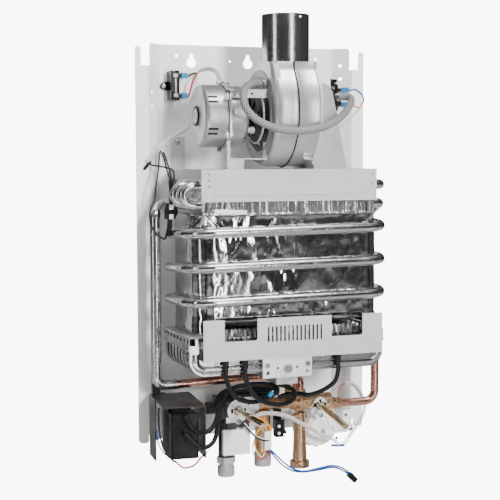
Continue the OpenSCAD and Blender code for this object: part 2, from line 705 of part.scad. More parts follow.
// Fin block: thin plates threaded on the tubes between two end plates
tube_rows = [for (i = [0:2]) coil_front + 30 + 36 * i];
low_tube_z = fins_bottom + pipe_r + 5;
high_tube_z = low_tube_z + 24;
module fin_plate(t) {
  linear_extrude(t) difference() {
    polygon([[chamber_front + 1, fins_bottom], [chamber_back - 1, fins_bottom], [chamber_back - 1, fins_top], [chamber_front + 1, fins_top]]);
    for (y = tube_rows) {
      translate([y, low_tube_z]) circle(pipe_r);
      if (y != tube_rows[2]) translate([y, high_tube_z]) circle(pipe_r);
    }
  }
}
module fin_block() {
  count = floor((fin_w - 8) / fin_pitch);
  color("silver") {
    for (i = [0:count]) translate([hx_x - count * fin_pitch / 2 + i * fin_pitch - fin_t / 2, 0, 0]) rotate([90, 0, 90]) fin_plate(fin_t);
    for (x = [hx_x - fin_w / 2, hx_x + fin_w / 2 - 1]) translate([x, 0, 0]) rotate([90, 0, 90]) fin_plate(1);
  }
}

// A return bend of the fin tubes, its plane turned by tilt from level
module return_bend(p, gap, side, tilt) {
  translate(p) rotate([tilt, 0, 0]) rotate([0, 0, side < 0 ? 90 : -90]) rotate_extrude(angle = 180)
    translate([gap / 2, 0]) circle(pipe_r);
}
module fin_tubes() {
  x0 = hx_x - fin_w / 2 - 6;
  x1 = hx_x + fin_w / 2 + 6;
  step = tube_rows[1] - tube_rows[0];
  rise = high_tube_z - low_tube_z;
  mid_z = (low_tube_z + high_tube_z) / 2;
  color("silver") {
    for (y = [tube_rows[0], tube_rows[1]]) {
      rod_x([x0, y, low_tube_z], x1 - x0, pipe_r);
      rod_x([x0, y, high_tube_z], x1 - x0, pipe_r);
      return_bend([x0, y, mid_z], rise, -1, 90);
    }
    rod_x([x0, tube_rows[2], low_tube_z], x1 - x0, pipe_r);
    return_bend([x1, tube_rows[0] + step / 2, high_tube_z], step, 1, 0);
    return_bend([x1, tube_rows[1] + step / 2, low_tube_z], step, 1, 0);
  }
}

// Combustion chamber: a rounded sheet shell that narrows at its shoulder
module chamber_block(inset, z0, z1) {
  x0 = hx_x - chamber_w / 2 + inset;
  x1 = hx_x + chamber_w / 2 - inset;
  translate([0, 0, z0]) linear_extrude(z1 - z0) polygon(rounded([x0, chamber_front + inset], [x1, chamber_back - inset], chamber_r - inset));
}
module shoulder_block(inset, over) {
  x0 = hx_x - fin_w / 2 + inset;
  x1 = hx_x + fin_w / 2 - inset;
  hull() {
    chamber_block(inset, chamber_top - e, chamber_top);
    translate([0, 0, fins_bottom - e + over]) linear_extrude(e) polygon(rounded([x0, chamber_front + inset], [x1, chamber_back - inset], 2));
  }
}
module combustion_chamber() {
  color("silver") difference() {
    union() {
      chamber_block(0, rack_top, chamber_top);
      shoulder_block(0, 0);
      block([hx_x - chamber_w / 2 + 26, chamber_back - e, rack_top + 20], [hx_x - chamber_w / 2 + 42, panel_front - 0.2, rack_top + 21]);
      block([hx_x + chamber_w / 2 - 42, chamber_back - e, rack_top + 20], [hx_x + chamber_w / 2 - 26, panel_front - 0.2, rack_top + 21]);
    }
    chamber_block(chamber_t, rack_top - 1, chamber_top + e);
    block([hx_x - 98, chamber_front - 1, rack_top - 1], [hx_x + 98, chamber_front + 2, rack_top + 20]);
    shoulder_block(chamber_t, 0.5);
  }
}

// Coil: one pipe wound round the chamber from the bottom up, then into the fins
coil_x0 = hx_x - coil_half;
coil_x1 = hx_x + coil_half;
coil_z = rack_top + 41;
function turn_points(z) =
  [[coil_x0, coil_front, z], [coil_x1, coil_front, z + 4], [coil_x1, coil_back, z + 10], [coil_x0, coil_back, z + coil_rise - 6]];
coil_last = coil_z + (coil_turns - 1) * coil_rise;
coil_bend = chamber_r + seat + pipe_r;
coil_points = concat([[cold_riser_x, valve_y, coil_z - 60], [cold_riser_x, valve_y, coil_z - 30], [coil_x1, coil_back, coil_z - 14],
  [coil_x0, coil_back, coil_z - 4]], [for (i = [0:coil_turns - 2]) each turn_points(coil_z + i * coil_rise)],
  [[coil_x0, coil_front, coil_last], [coil_x1, coil_front, coil_last + 4], [coil_x1, tube_rows[0] + 30, coil_last + 8]]);
coil_tail = [[coil_x1, tube_rows[0] + 36, coil_last + 12], [coil_x1 + 2, tube_rows[0] + 30, coil_last + 20],
  [coil_x1 + 5, tube_rows[0] + 14, coil_last + 30], [coil_x1 + 2, tube_rows[0] + 3, low_tube_z - 0.4],
  [hx_x + fin_w / 2 + 10, tube_rows[0], low_tube_z]];
coil_end = [[hx_x + fin_w / 2 + 6.2, tube_rows[0], low_tube_z]];
module coil_pipe() {
  color("silver") tube(concat(route(coil_points, coil_bend, 5), curve(coil_tail, 2), coil_end), pipe_r, 12);
}
module down_pipe() {
  x0 = hx_x - fin_w / 2 - 6.2;
  color("silver") tube(route([[x0, tube_rows[2], low_tube_z], [down_x + 12, tube_rows[2], low_tube_z], [down_x, hot_run_y, low_tube_z - 14],
    [down_x, hot_run_y, valve_z + 27], [down_x + 27, hot_run_y, valve_z + 27]], 12, 5), pipe_r, 12);
}
module hot_copper_pipe() {
  color([0.72, 0.42, 0.32]) tube(route([[down_x + 27.2, hot_run_y, valve_z + 27], [hot_x, hot_run_y, valve_z + 31],
    [hot_x, valve_y, valve_z + 31], [hot_x, valve_y, valve_z + 16.3]], 9, 5), 5.5, 12);
}
module cold_copper_pipe() {
  color([0.76, 0.46, 0.36]) tube(route([[cold_riser_x, valve_y, coil_z - 60], [cold_riser_x, valve_y, valve_z - 6], [water_x + 34, valve_y, valve_z - 6]], 14, 6), 5.5, 12);
}

// Burner: bars side by side from front to back, each with a comb of ports
function bar_profile() =
  let (x0 = bar_x - bar_w / 2, x1 = bar_x + bar_w / 2, r = 20, top = bars_top - 8)
  [[x0, top], for (a = [180:15:270]) [x0 + r + r * cos(a), bars_bottom + r + r * sin(a)],
    for (a = [270:15:360]) [x1 - r + r * cos(a), bars_bottom + r + r * sin(a)], [x1, top]];
function comb_profile() =
  let (x0 = bar_x - bar_w / 2 + 8, n = floor((bar_w - 16) / 6))
  [[x0, bars_top - 9], for (i = [0:n - 1]) each [[x0 + 6 * i, bars_top], [x0 + 6 * i + 4, bars_top], [x0 + 6 * i + 4, bars_top - 4], [x0 + 6 * i + 6, bars_top - 4]],
    [x0 + 6 * n, bars_top - 9]];
module burner_bars() {
  x0 = bar_x - bar_w / 2;
  x1 = bar_x + bar_w / 2;
  roll = 6.5;
  in = 0.7;
  bend = 20 - roll - in;
  color("lightgray") {
    for (i = [0:bar_count - 1]) {
      y = bar_front + i * bar_pitch;
      along_y(y, y + bar_t) polygon(bar_profile());
      along_y(y + 2, y + bar_t - 2) polygon(comb_profile());
    }
    translate([0, bar_front + 4, 0]) {
      rod_x([x0 + 20, 0, bars_bottom + roll + in], bar_w - 40, roll);
      for (s = [[x0, 180], [x1, 270]]) {
        rod_z([s[0] + (s[1] == 180 ? roll + in : -roll - in), 0, bars_bottom + 20], 8, roll);
        translate([s[0] + (s[1] == 180 ? 20 : -20), 0, bars_bottom + 20]) rotate([90, 0, 0]) rotate([0, 0, s[1]])
          rotate_extrude(angle = 90) translate([bend, 0]) circle(roll);
      }
    }
  }
}
module burner_rack() {
  x0 = bar_x - bar_w / 2;
  x1 = bar_x + bar_w / 2;
  y0 = bar_front;
  y1 = bar_front + bar_count * bar_pitch;
  color("silver") {
    difference() {
      for (s = [[x0 - 1, x0], [x1, x1 + 1]]) block([s[0], y0, bars_top - 14], [s[1], y1, rack_top]);
      for (i = [0:bar_count - 1]) block([x0 - 3, y0 + i * bar_pitch + 3.5, bars_top - 6], [x1 + 3, y0 + i * bar_pitch + bar_pitch - 1.5, bars_top - 0.8]);
    }
    block([x0 - 3, y0, bars_top - 14], [x0, y1, bars_top - 13]);
    block([x1, y0, bars_top - 14], [x1 + 3, y1, bars_top - 13]);
    block([x0 - 1, y0, rack_top - 1], [hx_x - chamber_w / 2 + 8, y1, rack_top]);
    block([hx_x + chamber_w / 2 - 8, y0, rack_top - 1], [x1 + 1, y1, rack_top]);
    block([x0 - 1, y1 - 1, bars_top - 14], [x1 + 1, y1, rack_top]);
  }
}

// Front plate: two notches, a row of slots and a flange below
notch_w = 42.5;
notch_h = 27;
module burner_front_plate() {
  x0 = plate_x - plate_w / 2;
  x1 = plate_x + plate_w / 2;
  z1 = plate_bottom + plate_h;
  color("whitesmoke") {
    difference() {
      block([x0, plate_front, plate_bottom], [x1, plate_front + plate_t, z1]);
      for (x = [plate_x - 92, plate_x + 49]) {
        block([x, plate_front - 1, z1 - notch_h + 3], [x + notch_w, plate_front + 3, z1 + 1]);
        block([x, plate_front - 1, z1 - notch_h], [x + notch_w - 3, plate_front + 3, z1 - 2]);
        rod_y([x + notch_w - 3, plate_front - 1, z1 - notch_h + 3], 4, 3);
      }
      for (i = [0:slot_count - 1]) {
        x = plate_x + (i - (slot_count - 1) / 2) * slot_pitch;
        rod_y([x, plate_front - 1, plate_bottom + 22], 4, 1.2);
        rod_y([x, plate_front - 1, plate_bottom + 39], 4, 1.2);
        block([x - 1.2, plate_front - 1, plate_bottom + 22], [x + 1.2, plate_front + 3, plate_bottom + 39]);
      }
    }
    difference() {
      block([x0, plate_front, plate_bottom], [x1, bar_front - 2.75, plate_bottom + plate_t]);
      for (x = electrode_x) rod_z([x, electrode_y, plate_bottom - 1], 4, 2.9);
    }
    for (x = [x0, x1 - plate_t]) block([x, plate_front, plate_bottom + 15], [x + plate_t, bar_front - 0.2, plate_bottom + 24]);
  }
}

// Gas manifold under the bars, with one nozzle for each bar
module gas_manifold() {
  color("darkgray") {
    difference() {
      block([manifold_x - 14, plate_front + 3, manifold_z - 14], [manifold_x + 14, bar_front + bar_count * bar_pitch, manifold_z - 4]);
      for (i = [0:bar_count - 1]) rod_z([manifold_x, bar_front + i * bar_pitch + bar_t / 2, manifold_z - 8], 6, 2.4);
    }
    rod_z([riser_x, valve_y, valve_z + 28.2], manifold_z - 9 - valve_z - 28.2, 6.4);
    block([manifold_x + 10, valve_y - 9, manifold_z - 13.6], [riser_x + 8, valve_y + 9, manifold_z - 6]);
  }
}
module gas_nozzles() {
  color("gold") for (i = [0:bar_count - 1]) difference() {
    union() {
      rod_z([manifold_x, bar_front + i * bar_pitch + bar_t / 2, manifold_z - 8], 8, 2.4);
      translate([manifold_x, bar_front + i * bar_pitch + bar_t / 2, manifold_z - 4]) cylinder(h = 3, r = 4.2, $fn = 6);
    }
    rod_z([manifold_x, bar_front + i * bar_pitch + bar_t / 2, manifold_z - 10], 12, 0.6);
  }
}
module manifold_plate() {
  color("lightgray") difference() {
    block([manifold_x - manifold_tab_w / 2, plate_front + plate_t, manifold_tab_bottom], [manifold_x + manifold_tab_w / 2, plate_front + plate_t + 2, plate_bottom]);
    for (x = [-1, 1]) rod_y([manifold_x + x * 13, plate_front - 1, manifold_tab_bottom + 12], 6, 1.6);
    for (x = [-1, 1]) rod_y([manifold_x + x * 26, plate_front - 1, manifold_tab_bottom + 6], 6, 2.4);
  }
}
module manifold_screws() {
  y = plate_front + plate_t;
  color("silver") {
    for (x = [-1, 1]) screw_front([manifold_x + x * 26.5, y, manifold_tab_bottom + 16], 3.2, 2.2);
    translate([manifold_x, y, manifold_tab_bottom + 11]) rotate([90, 0, 0]) cylinder(h = 4.5, r = 5.6, $fn = 6);
  }
}

// Spark and flame electrodes behind the front plate
electrode_x = [-83, -58, 66];
electrode_y = plate_front + 4.5;
module electrodes() {
  color("white") for (x = electrode_x) {
    rod_z([x, electrode_y, plate_bottom - 5], 28, 2.8);
    rod_z([x, electrode_y, plate_bottom + 23], 14, 0.9);
  }
}
module electrode_boots() {
  color([0.09, 0.09, 0.1]) for (x = electrode_x) difference() {
    rod_z([x, electrode_y, plate_bottom - 10], 9.5, 3.8);
    rod_z([x, electrode_y, plate_bottom - 5], 6, 2.8);
  }
}

// High tension leads from the igniter to the electrodes
module ignition_leads() {
  z = plate_bottom - 10.2;
  y = electrode_y;
  color([0.09, 0.09, 0.1]) {
    tube(curve([[-83, y, z - 0.3], [-82.6, y, z - 12], [-74, -147, z - 30], [-60, -140, z - 42], [-38, -134, z - 47], [-16, -130, z - 42],
      [-4, -122, z - 35], [-14, -114, z - 30], [-40, -112, z - 29], [-64, -114, z - 33], [-80, -120, z - 48], [-88, -126, z - 70],
      [-100, -130, z - 81], [-114, -133, z - 80], [-124, -133, z - 69], [ig_x - 0.8, -130, z - 62.2], [ig_x - 0.8, ig_lid_y - 0.3, z - 62.2]], 3), 2.9, 8);
    tube(curve([[-58, y, z - 0.3], [-57.6, y, z - 12], [-48, -148, z - 32], [-30, -142, z - 46], [-6, -138, z - 52], [14, -130, z - 48],
      [18, -120, z - 38], [4, -108, z - 33], [-30, -105, z - 31], [-60, -107, z - 34], [-76, -113, z - 48], [-84, -124, z - 72],
      [-92, -132, z - 92], [-106, -136, z - 99], [-120, -135, z - 91], [ig_x - 0.8, -130, z - 83.2], [ig_x - 0.8, ig_lid_y - 0.3, z - 83.2]], 3), 2.9, 8);
    tube(curve([[66, y, z - 0.3], [66.4, y, z - 10], [64, -146, z - 26], [50, -138, z - 38], [36, -128, z - 44], [27, -116, z - 44], [16, -106, z - 46],
      [4, -102.5, z - 50]], 3), 2.9, 8);
  }
}

// Igniter: a black moulded box hung under a galvanised bracket
ig_x = 33 - pan_w / 2;
ig_front = -121;
ig_turn = -4;
ig_top = pan_bottom + 66;
ig_lid_y = ig_front - 5;
module turned() {
  translate([ig_x, ig_front, 0]) rotate([0, 0, ig_turn]) children();
}
module igniter_bracket() {
  w = 26.5;
  back = 92;
  color("darkgray") {
    turned() {
      block([-w, -4, ig_top - 1.2], [w, back, ig_top]);
      block([w - 1.2, -4, pan_bottom], [w, back - 30, ig_top]);
      difference() {
        block([-w, back - 40, pan_bottom - 14], [-w + 1.2, back, ig_top]);
        rod_x([-w - 2, back - 12, pan_bottom + 10], 6, 2);
        block([-w - 2, back - 13, pan_bottom - 4], [-w + 3, back - 11, pan_bottom + 2]);
      }
    }
    block([ig_x - 14, ig_front + back - 6, ig_top - 1.2], [ig_x + 2, strip_front - 0.3, ig_top]);
    block([ig_x - 14, strip_front - 1.5, ig_top - 1.2], [ig_x - 4, strip_front - 0.3, ig_top + 12]);
  }
}
module igniter_box() {
  w = igniter_w / 2;
  color([0.08, 0.08, 0.09]) turned() {
    difference() {
      block([-w, 0, ig_top - 10 - igniter_h], [w, igniter_d, ig_top - 10]);
      for (s = [-1, 1]) for (y = [8, 22, 36, 50]) block([s * w - 0.6, y, ig_top - 60], [s * w + 0.6, y + 1.2, ig_top - 16]);
    }
    difference() {
      block([-w - 1, -3, ig_top - 10.5 - igniter_h], [w + 1, 0, ig_top - 9.5]);
      for (s = [-1, 1]) translate([s * (w + 1), -3, 0]) rotate([0, 0, 45]) block([-1.4, -1.4, ig_top - 80], [1.4, 1.4, ig_top]);
    }
    block([-w + 4, igniter_d / 2 - 8, ig_top - 10 - e], [w - 4, igniter_d / 2 + 8, ig_top - 1.2]);
    for (z = [0, -21]) translate([-1, 0, ig_top - 13.4 + z]) rod_y([0, -4.5, 0], 2, 4.2);
  }
}

// Gas valve body behind its knob plate, with the union below
module gas_valve_body() {
  color("darkgray") {
    difference() {
      block([gas_x - 15, knob_plate_y + 1.6, gas_z - 22], [gas_x + 15, valve_y + 22, gas_z + 12]);
      rod_y([gas_x, knob_plate_y, gas_z], 9, knob_shaft_r + turn_gap);
    }
    rod_z([union_x, valve_y, valve_z - 64], 46, 10);
    rod_x([gas_x + 14, valve_y, valve_z], -20.3 - gas_x - 14, 8.2);
    block([gas_x - 8, valve_y + 20, gas_z - 10], [gas_x + 8, panel_front - 22, gas_z + 6]);
    block([gas_x - 12, panel_front - 24, gas_z - 10], [gas_x + 12, panel_front - 0.9, gas_z - 8]);
    block([gas_x - 12, panel_front - 2.4, gas_z - 24], [gas_x + 12, panel_front - 0.9, gas_z - 8]);
  }
}
module knob_plate(tilt, x, z, r, up, down) {
  translate([x, knob_plate_y, z]) rotate([tilt, 0, 0]) difference() {
    union() {
      rod_y([0, 0, 0], 1.5, r);
      rod_y([0, 0, up], 1.5, 4.4);
      rod_y([0, 0, down], 1.5, 4.4);
      block([-4.4, 0, down], [4.4, 1.5, up]);
      block([-r - 2, 0, down - 2], [-r * 0.3, 1.5, down + 5]);
    }
    rod_y([0, -1, 0], 4, knob_shaft_r + turn_gap);
    for (s = [-1, 1]) block([s * r * 0.62 - 0.9, -1, -1.8], [s * r * 0.62 + 0.9, 3, 1.8]);
    for (v = [up, down]) rod_y([0, -1, v], 4, 1.9);
  }
}
module control_shaft(tilt, x, z, l) {
  translate([x, knob_plate_y, z]) rotate([tilt, 0, 0]) difference() {
    union() {
      rod_y([0, -l, 0], l + 8, knob_shaft_r);
      rod_y([0, -l - 1, 0], 1, knob_shaft_r - 0.8);
      rod_y([0, -1.6, 0], 1.2, knob_shaft_r + 1);
    }
    block([-5, -l - 2, knob_shaft_r - 1], [5, -l + 46, knob_shaft_r + 1]);
  }
}
module gas_knob_plate() {
  color("silver") knob_plate(0, gas_x, gas_z, 14.5, 14, -13);
}
module gas_control_shaft() {
  color("tan") control_shaft(0, gas_x, gas_z, gas_shaft_l);
}
module gas_union() {
  color("silver") difference() {
    union() {
      translate([union_x, valve_y, valve_z - 72]) cylinder(h = 8, r = 12.6, $fn = 6);
      rod_z([union_x, valve_y, valve_z - 76], 4, 9);
      rod_z([union_x, valve_y, valve_z - 89], 13, thread_r);
    }
    rod_z([union_x, valve_y, valve_z - 90], 27, 7);
  }
}
module solenoid_box() {
  color("whitesmoke") difference() {
    block([gas_x - 21, knob_plate_y - 2, gas_z - 56], [gas_x + 15, valve_y - 10.3, gas_z - 24]);
    for (x = [-4, 8]) rod_y([gas_x + x, knob_plate_y - 3, gas_z - 46], 2, 2.6);
  }
  color("silver") block([gas_x - 1, valve_y - 10.3, gas_z - 50], [gas_x + 12, valve_y + 12, gas_z - 22.2]);
}

// Brass body along the valve line, with its collars, flange and domed screws
module brass_body() {
  color([0.75, 0.6, 0.36]) {
    rod_x([-20, valve_y, valve_z], 5, 9.2);
    rod_x([-15.5, valve_y, valve_z], 42, 8);
    rod_x([26, valve_y, valve_z], 8, 10);
    rod_x([33, valve_y, valve_z], 5.5, 14);
    rod_x([38, valve_y, valve_z], 2, 13);
    rod_x([39.5, valve_y, valve_z], 5.5, 14);
    translate([riser_x, valve_y, valve_z + 2]) cylinder(h = 12, r1 = 12.5, r2 = 7);
    rod_z([riser_x, valve_y, valve_z + 13.9], 14.2, 7);
    rod_z([hot_x, valve_y, valve_z + 10], 6, 8);
    difference() {
      union() {
        rod_x([44, valve_y, valve_z], 26, 10);
        translate([water_x, knob_plate_y, water_z]) rotate([water_tilt, 0, 0]) rod_y([0, 1.7, 0], 12, 7.5);
      }
      translate([water_x, knob_plate_y, water_z]) rotate([water_tilt, 0, 0]) rod_y([0, 0, 0], 9, knob_shaft_r + turn_gap);
    }
    translate([70, valve_y, valve_z]) rotate([0, 90, 0]) cylinder(h = 12, r = 9.5, $fn = 6);
    difference() {
      rod_x([82, valve_y, valve_z - 6], 13, 8);
      rod_x([water_x + 34, valve_y, valve_z - 6], 10, 5.5);
    }
    for (x = [33, 45]) for (a = [45:90:315]) translate([x, valve_y + 11 * cos(a), valve_z + 11 * sin(a)]) sphere(2.6);
  }
}
module water_knob_plate() {
  color("silver") knob_plate(water_tilt, water_x, water_z, 9.8, 6, -10);
}
module water_control_shaft() {
  color("tan") control_shaft(water_tilt, water_x, water_z, water_shaft_l);
}
module cold_inlet() {
  color([0.75, 0.6, 0.36]) difference() {
    rod_z([cold_x, valve_y, valve_z - 62], 53.8, 10);
    rod_x([-24, valve_y, valve_z], 9.3, 9.5);
  }
  color("silver") difference() {
    rod_z([cold_x, valve_y, valve_z - 80], 18, thread_r);
    rod_z([cold_x, valve_y, valve_z - 81], 12, 8);
  }
}
module hot_outlet() {
  color([0.75, 0.6, 0.36]) difference() {
    union() {
      translate([hot_x, valve_y, valve_z - 80]) cylinder(h = 65.8, r1 = 9.5, r2 = 7);
      rod_x([26, rod_y0, rod_z0], hot_x - 26, 3.4);
      rod_z([hot_x, valve_y, valve_z - 86], 8, 12.8);
    }
    rod_z([hot_x, valve_y, valve_z - 87], 20, 6);
    rod_z([hot_x, valve_y, valve_z - 87], 7.5, hot_thread_r);
    rod_x([25, rod_y0, rod_z0], 9.5, 1.5 + turn_gap);
  }
}

// Diaphragm housing: a round two-part moulding behind the water knob
module diaphragm_housing() {
  x = 68;
  z = valve_z - 36;
  color([0.86, 0.86, 0.87]) {
    difference() {
      rod_y([x, valve_y + 8, z], 14, 27);
      rod_y([x, valve_y + 7, z], 2, 22);
    }
    rod_y([x, valve_y + 22, z], 3, 30);
    rod_y([x, valve_y + 25, z], 12, 24);
    for (a = [30:60:330]) translate([x + 27 * cos(a), valve_y + 19.5, z + 27 * sin(a)]) rotate([-90, 0, 0]) cylinder(h = 3, r = 2.6, $fn = 6);
    block([x - 10, valve_y + 8, z + 20], [x + 10, valve_y + 22, valve_z - 8]);
    block([x - 8, valve_y + 37, z - 6], [x + 8, panel_front - 0.2, z + 6]);
    block([x + 14, valve_y + 14, z - 12], [x + 53, valve_y + 17, z - 3]);
    block([x + 38, valve_y + 12.6, z - 9], [x + 50, valve_y + 14, z + 17]);
    block([x + 6, valve_y - 1, z - 13], [x + 17, valve_y + 0.4, z - 3]);
    block([x + 6, valve_y - 1, z - 10], [x + 38, valve_y + 4, z - 7.6]);
    block([x + 10, valve_y + 3.9, z - 10], [x + 20, valve_y + 8.1, z - 7.6]);
  }
}
rod_x0 = 17;
rod_y0 = valve_y - 4;
rod_z0 = valve_z - 18;
module flow_rod() {
  color("silver") {
    rod_x([rod_x0, rod_y0, rod_z0], 16, 1.5);
    rod_x([rod_x0, rod_y0, rod_z0], 1, 2.6);
  }
}
module microswitch() {
  color([0.1, 0.1, 0.11]) difference() {
    block([2, valve_y - 9, valve_z - 43], [13, valve_y + 1, valve_z - 20]);
    for (z = [-38, -27]) rod_y([7, valve_y - 12, valve_z + z], 14, 1.5);
  }
  color("silver") {
    block([2, valve_y + 1, valve_z - 40], [13, valve_y + 2.2, valve_z - 8.1]);
    rod_x([12.8, rod_y0, valve_z - 30], 1.2, 1.2);
    for (y = [rod_y0 - 4.4, rod_y0 + 3.2]) block([12.8, y, valve_z - 39], [17, y + 1.2, valve_z - 35]);
    rod_y([15.8, rod_y0 - 4.2, valve_z - 37], 8.4, 0.8);
  }
}
module switch_lever() {
  color("silver") difference() {
    union() {
      block([15.4, rod_y0 - 2.5, valve_z - 36], [16.2, rod_y0 + 2.5, rod_z0 + 3]);
      rod_y([15.8, rod_y0 - 2.5, valve_z - 37], 5, 1.9);
    }
    rod_y([15.8, rod_y0 - 4, valve_z - 37], 8, 0.8 + turn_gap);
  }
}

// Overheat switch beside the left return bends of the fin tubes
module overheat_switch() {
  x = hx_x - fin_w / 2 - 27.3;
  y = tube_rows[1] + pipe_r + seat;
  z = low_tube_z;
  color([0.1, 0.1, 0.11]) {
    block([x, y, z - 18.3], [x + 12, y + 11.5, z + 1.9]);
    block([x + 5, y, z + 1.8], [x + 12, y + 9, z + 9]);
  }
  color("silver") for (s = [[2, -6.9], [0.4, -18]]) block([x + s[0], y - 1.2, z + s[1]], [x + s[0] + 6.8, y + e, z + s[1] + 6.6]);
}

// Connector, harness wires and the free lead pair with its plug
con_x = -11.8;
con_z = pan_bottom + 11;
module wire_connector() {
  color("white") difference() {
    block([con_x - 5, valve_y - 18.3, con_z - 12], [con_x + 4.5, valve_y - 10.3, con_z + 12]);
    for (z = [-7, 0, 7]) block([con_x - 6, valve_y - 16.5, con_z + z - 1.5], [con_x - 4, valve_y - 12, con_z + z + 1.5]);
  }
}
module wire_harness() {
  y = valve_y - 14.3;
  color("gold") tube(curve([[con_x - 3, y, con_z - 12.2], [con_x - 4, y, con_z - 18], [-26, y, con_z - 20], [-33, y, con_z - 8], [-33, y, con_z + 12],
    [-24, y, con_z + 27], [con_x - 2, y, con_z + 24], [con_x, y, con_z + 12.2]], 3), 0.8, 6);
}
lead_a = [[-10, -105.3, -261.4], [-2, -108, -272], [8, -111, -283], [22, -111, -291], [38, -110, -294], [58, -110, -293], [76, -108, -292], [90, -106, -296], [102, -104, -304]];
lead_b = [[-8, -105.3, -261.4], [1, -108.5, -271], [11, -112, -281], [24, -113, -289], [38, -113, -292], [58, -112, -290], [76, -110, -289], [92, -107, -294], [104, -104, -303]];
module lead_wire_left() {
  color("steelblue") tube(curve(lead_a, 3), 0.7, 8);
}
module lead_wire_right() {
  color("steelblue") tube(curve(lead_b, 3), 0.7, 8);
}
module lead_plug() {
  color([0.08, 0.08, 0.09]) translate([103, -104, -304]) rotate([0, 45, 0]) block([0, -4, -4], [14, 4, 4]);
}

back_pan();
flue_collar();
scroll_left_shell();
scroll_right_shell();
impeller();
suction_box();
motor_rear_shell();
motor_front_shell();
motor_stator();
motor_rotor();
motor_bushes();
cooling_disc();
motor_bracket();
motor_clamp_screws();
run_capacitor();
terminal_sleeves();
capacitor_leads();
pressure_switch();
pressure_hose();
hose_clips();
smoke_hood();
fin_block();
fin_tubes();
combustion_chamber();
coil_pipe();
down_pipe();
hot_copper_pipe();
cold_copper_pipe();
burner_bars();
burner_rack();
burner_front_plate();
gas_manifold();
gas_nozzles();
manifold_plate();
manifold_screws();
electrodes();
electrode_boots();
ignition_leads();
igniter_bracket();
igniter_box();
gas_valve_body();
gas_knob_plate();
gas_control_shaft();
gas_union();
solenoid_box();
brass_body();
water_knob_plate();
water_control_shaft();
cold_inlet();
hot_outlet();
diaphragm_housing();
flow_rod();
microswitch();
switch_lever();
overheat_switch();
wire_connector();
wire_harness();
lead_wire_left();
lead_wire_right();
lead_plug();
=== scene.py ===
"""Looks of a fan-assisted gas water heater with its cover off, on its wall pan."""

import math

import bmesh
import bpy
from mathutils import Matrix, Vector, noise


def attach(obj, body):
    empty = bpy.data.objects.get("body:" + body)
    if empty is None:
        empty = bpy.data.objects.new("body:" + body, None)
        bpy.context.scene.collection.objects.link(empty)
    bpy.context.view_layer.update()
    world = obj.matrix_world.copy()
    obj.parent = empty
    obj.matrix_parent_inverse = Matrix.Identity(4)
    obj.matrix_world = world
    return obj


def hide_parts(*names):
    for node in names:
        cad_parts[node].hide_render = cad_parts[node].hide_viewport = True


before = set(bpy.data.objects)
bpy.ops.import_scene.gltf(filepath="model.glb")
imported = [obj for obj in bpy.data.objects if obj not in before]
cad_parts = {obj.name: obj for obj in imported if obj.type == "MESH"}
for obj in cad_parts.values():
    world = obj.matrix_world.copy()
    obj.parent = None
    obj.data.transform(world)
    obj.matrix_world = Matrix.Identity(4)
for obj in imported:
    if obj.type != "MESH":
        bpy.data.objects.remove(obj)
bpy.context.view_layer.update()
MM = 0.001

# The camera stands where the photographer stood, left of the heater and a little above its middle.
camera_place = Vector((-551.1, -1558.9, 112.4))
camera_turn, camera_dip, camera_roll = -19.56, 4.31, -0.18
camera_data = bpy.data.cameras.new("camera")
camera_data.lens = 88.26
camera_data.sensor_width = 36
camera_data.clip_end = 30
camera = bpy.data.objects.new("camera", camera_data)
bpy.context.scene.collection.objects.link(camera)
aim = Matrix.Rotation(math.radians(camera_turn), 4, "Z")
aim = aim @ Matrix.Rotation(math.radians(90 - camera_dip), 4, "X")
aim = aim @ Matrix.Rotation(math.radians(camera_roll), 4, "Z")
camera.matrix_world = Matrix.Translation(camera_place * MM) @ aim
bpy.context.scene.camera = camera


# Lines that pipes, hoses and wires follow, in millimetres.
def fillet(before, corner, after, radius, steps):
    """Points of the bend of that radius at a corner."""
    d = (corner - before).normalized()
    g = (after - corner).normalized()
    turn = math.acos(max(-1.0, min(1.0, d.dot(g))))
    if turn < 1e-4:
        return [corner.copy()]
    reach = radius * math.tan(turn / 2)
    middle = corner + (g - d).normalized() * radius / math.cos(turn / 2)
    u = corner - d * reach - middle
    w = corner + g * reach - middle
    out = []
    for i in range(steps + 1):
        s = i / steps
        out.append(middle + (math.sin(turn * (1 - s)) * u + math.sin(turn * s) * w) / math.sin(turn))
    return out


def route(corners, radius, steps=10):
    """A pipe's line through its corners, each bent to one radius."""
    p = [Vector(c) for c in corners]
    line = [p[0]]
    for i in range(1, len(p) - 1):
        line += fillet(p[i - 1], p[i], p[i + 1], radius, steps)
    return line + [p[-1]]


def curve(points, steps=4):
    """A smooth line through points, as a soft hose or wire lies."""
    p = [Vector(c) for c in points]
    line = []
    for i in range(len(p) - 1):
        a, b, c, d = p[max(i - 1, 0)], p[i], p[i + 1], p[min(i + 2, len(p) - 1)]
        for j in range(steps):
            s = j / steps
            straight = 2 * b + (c - a) * s
            square = (2 * a - 5 * b + 4 * c - d) * s * s
            cube = (3 * b - a - 3 * c + d) * s ** 3
            line.append(0.5 * (straight + square + cube))
    return line + [p[-1]]


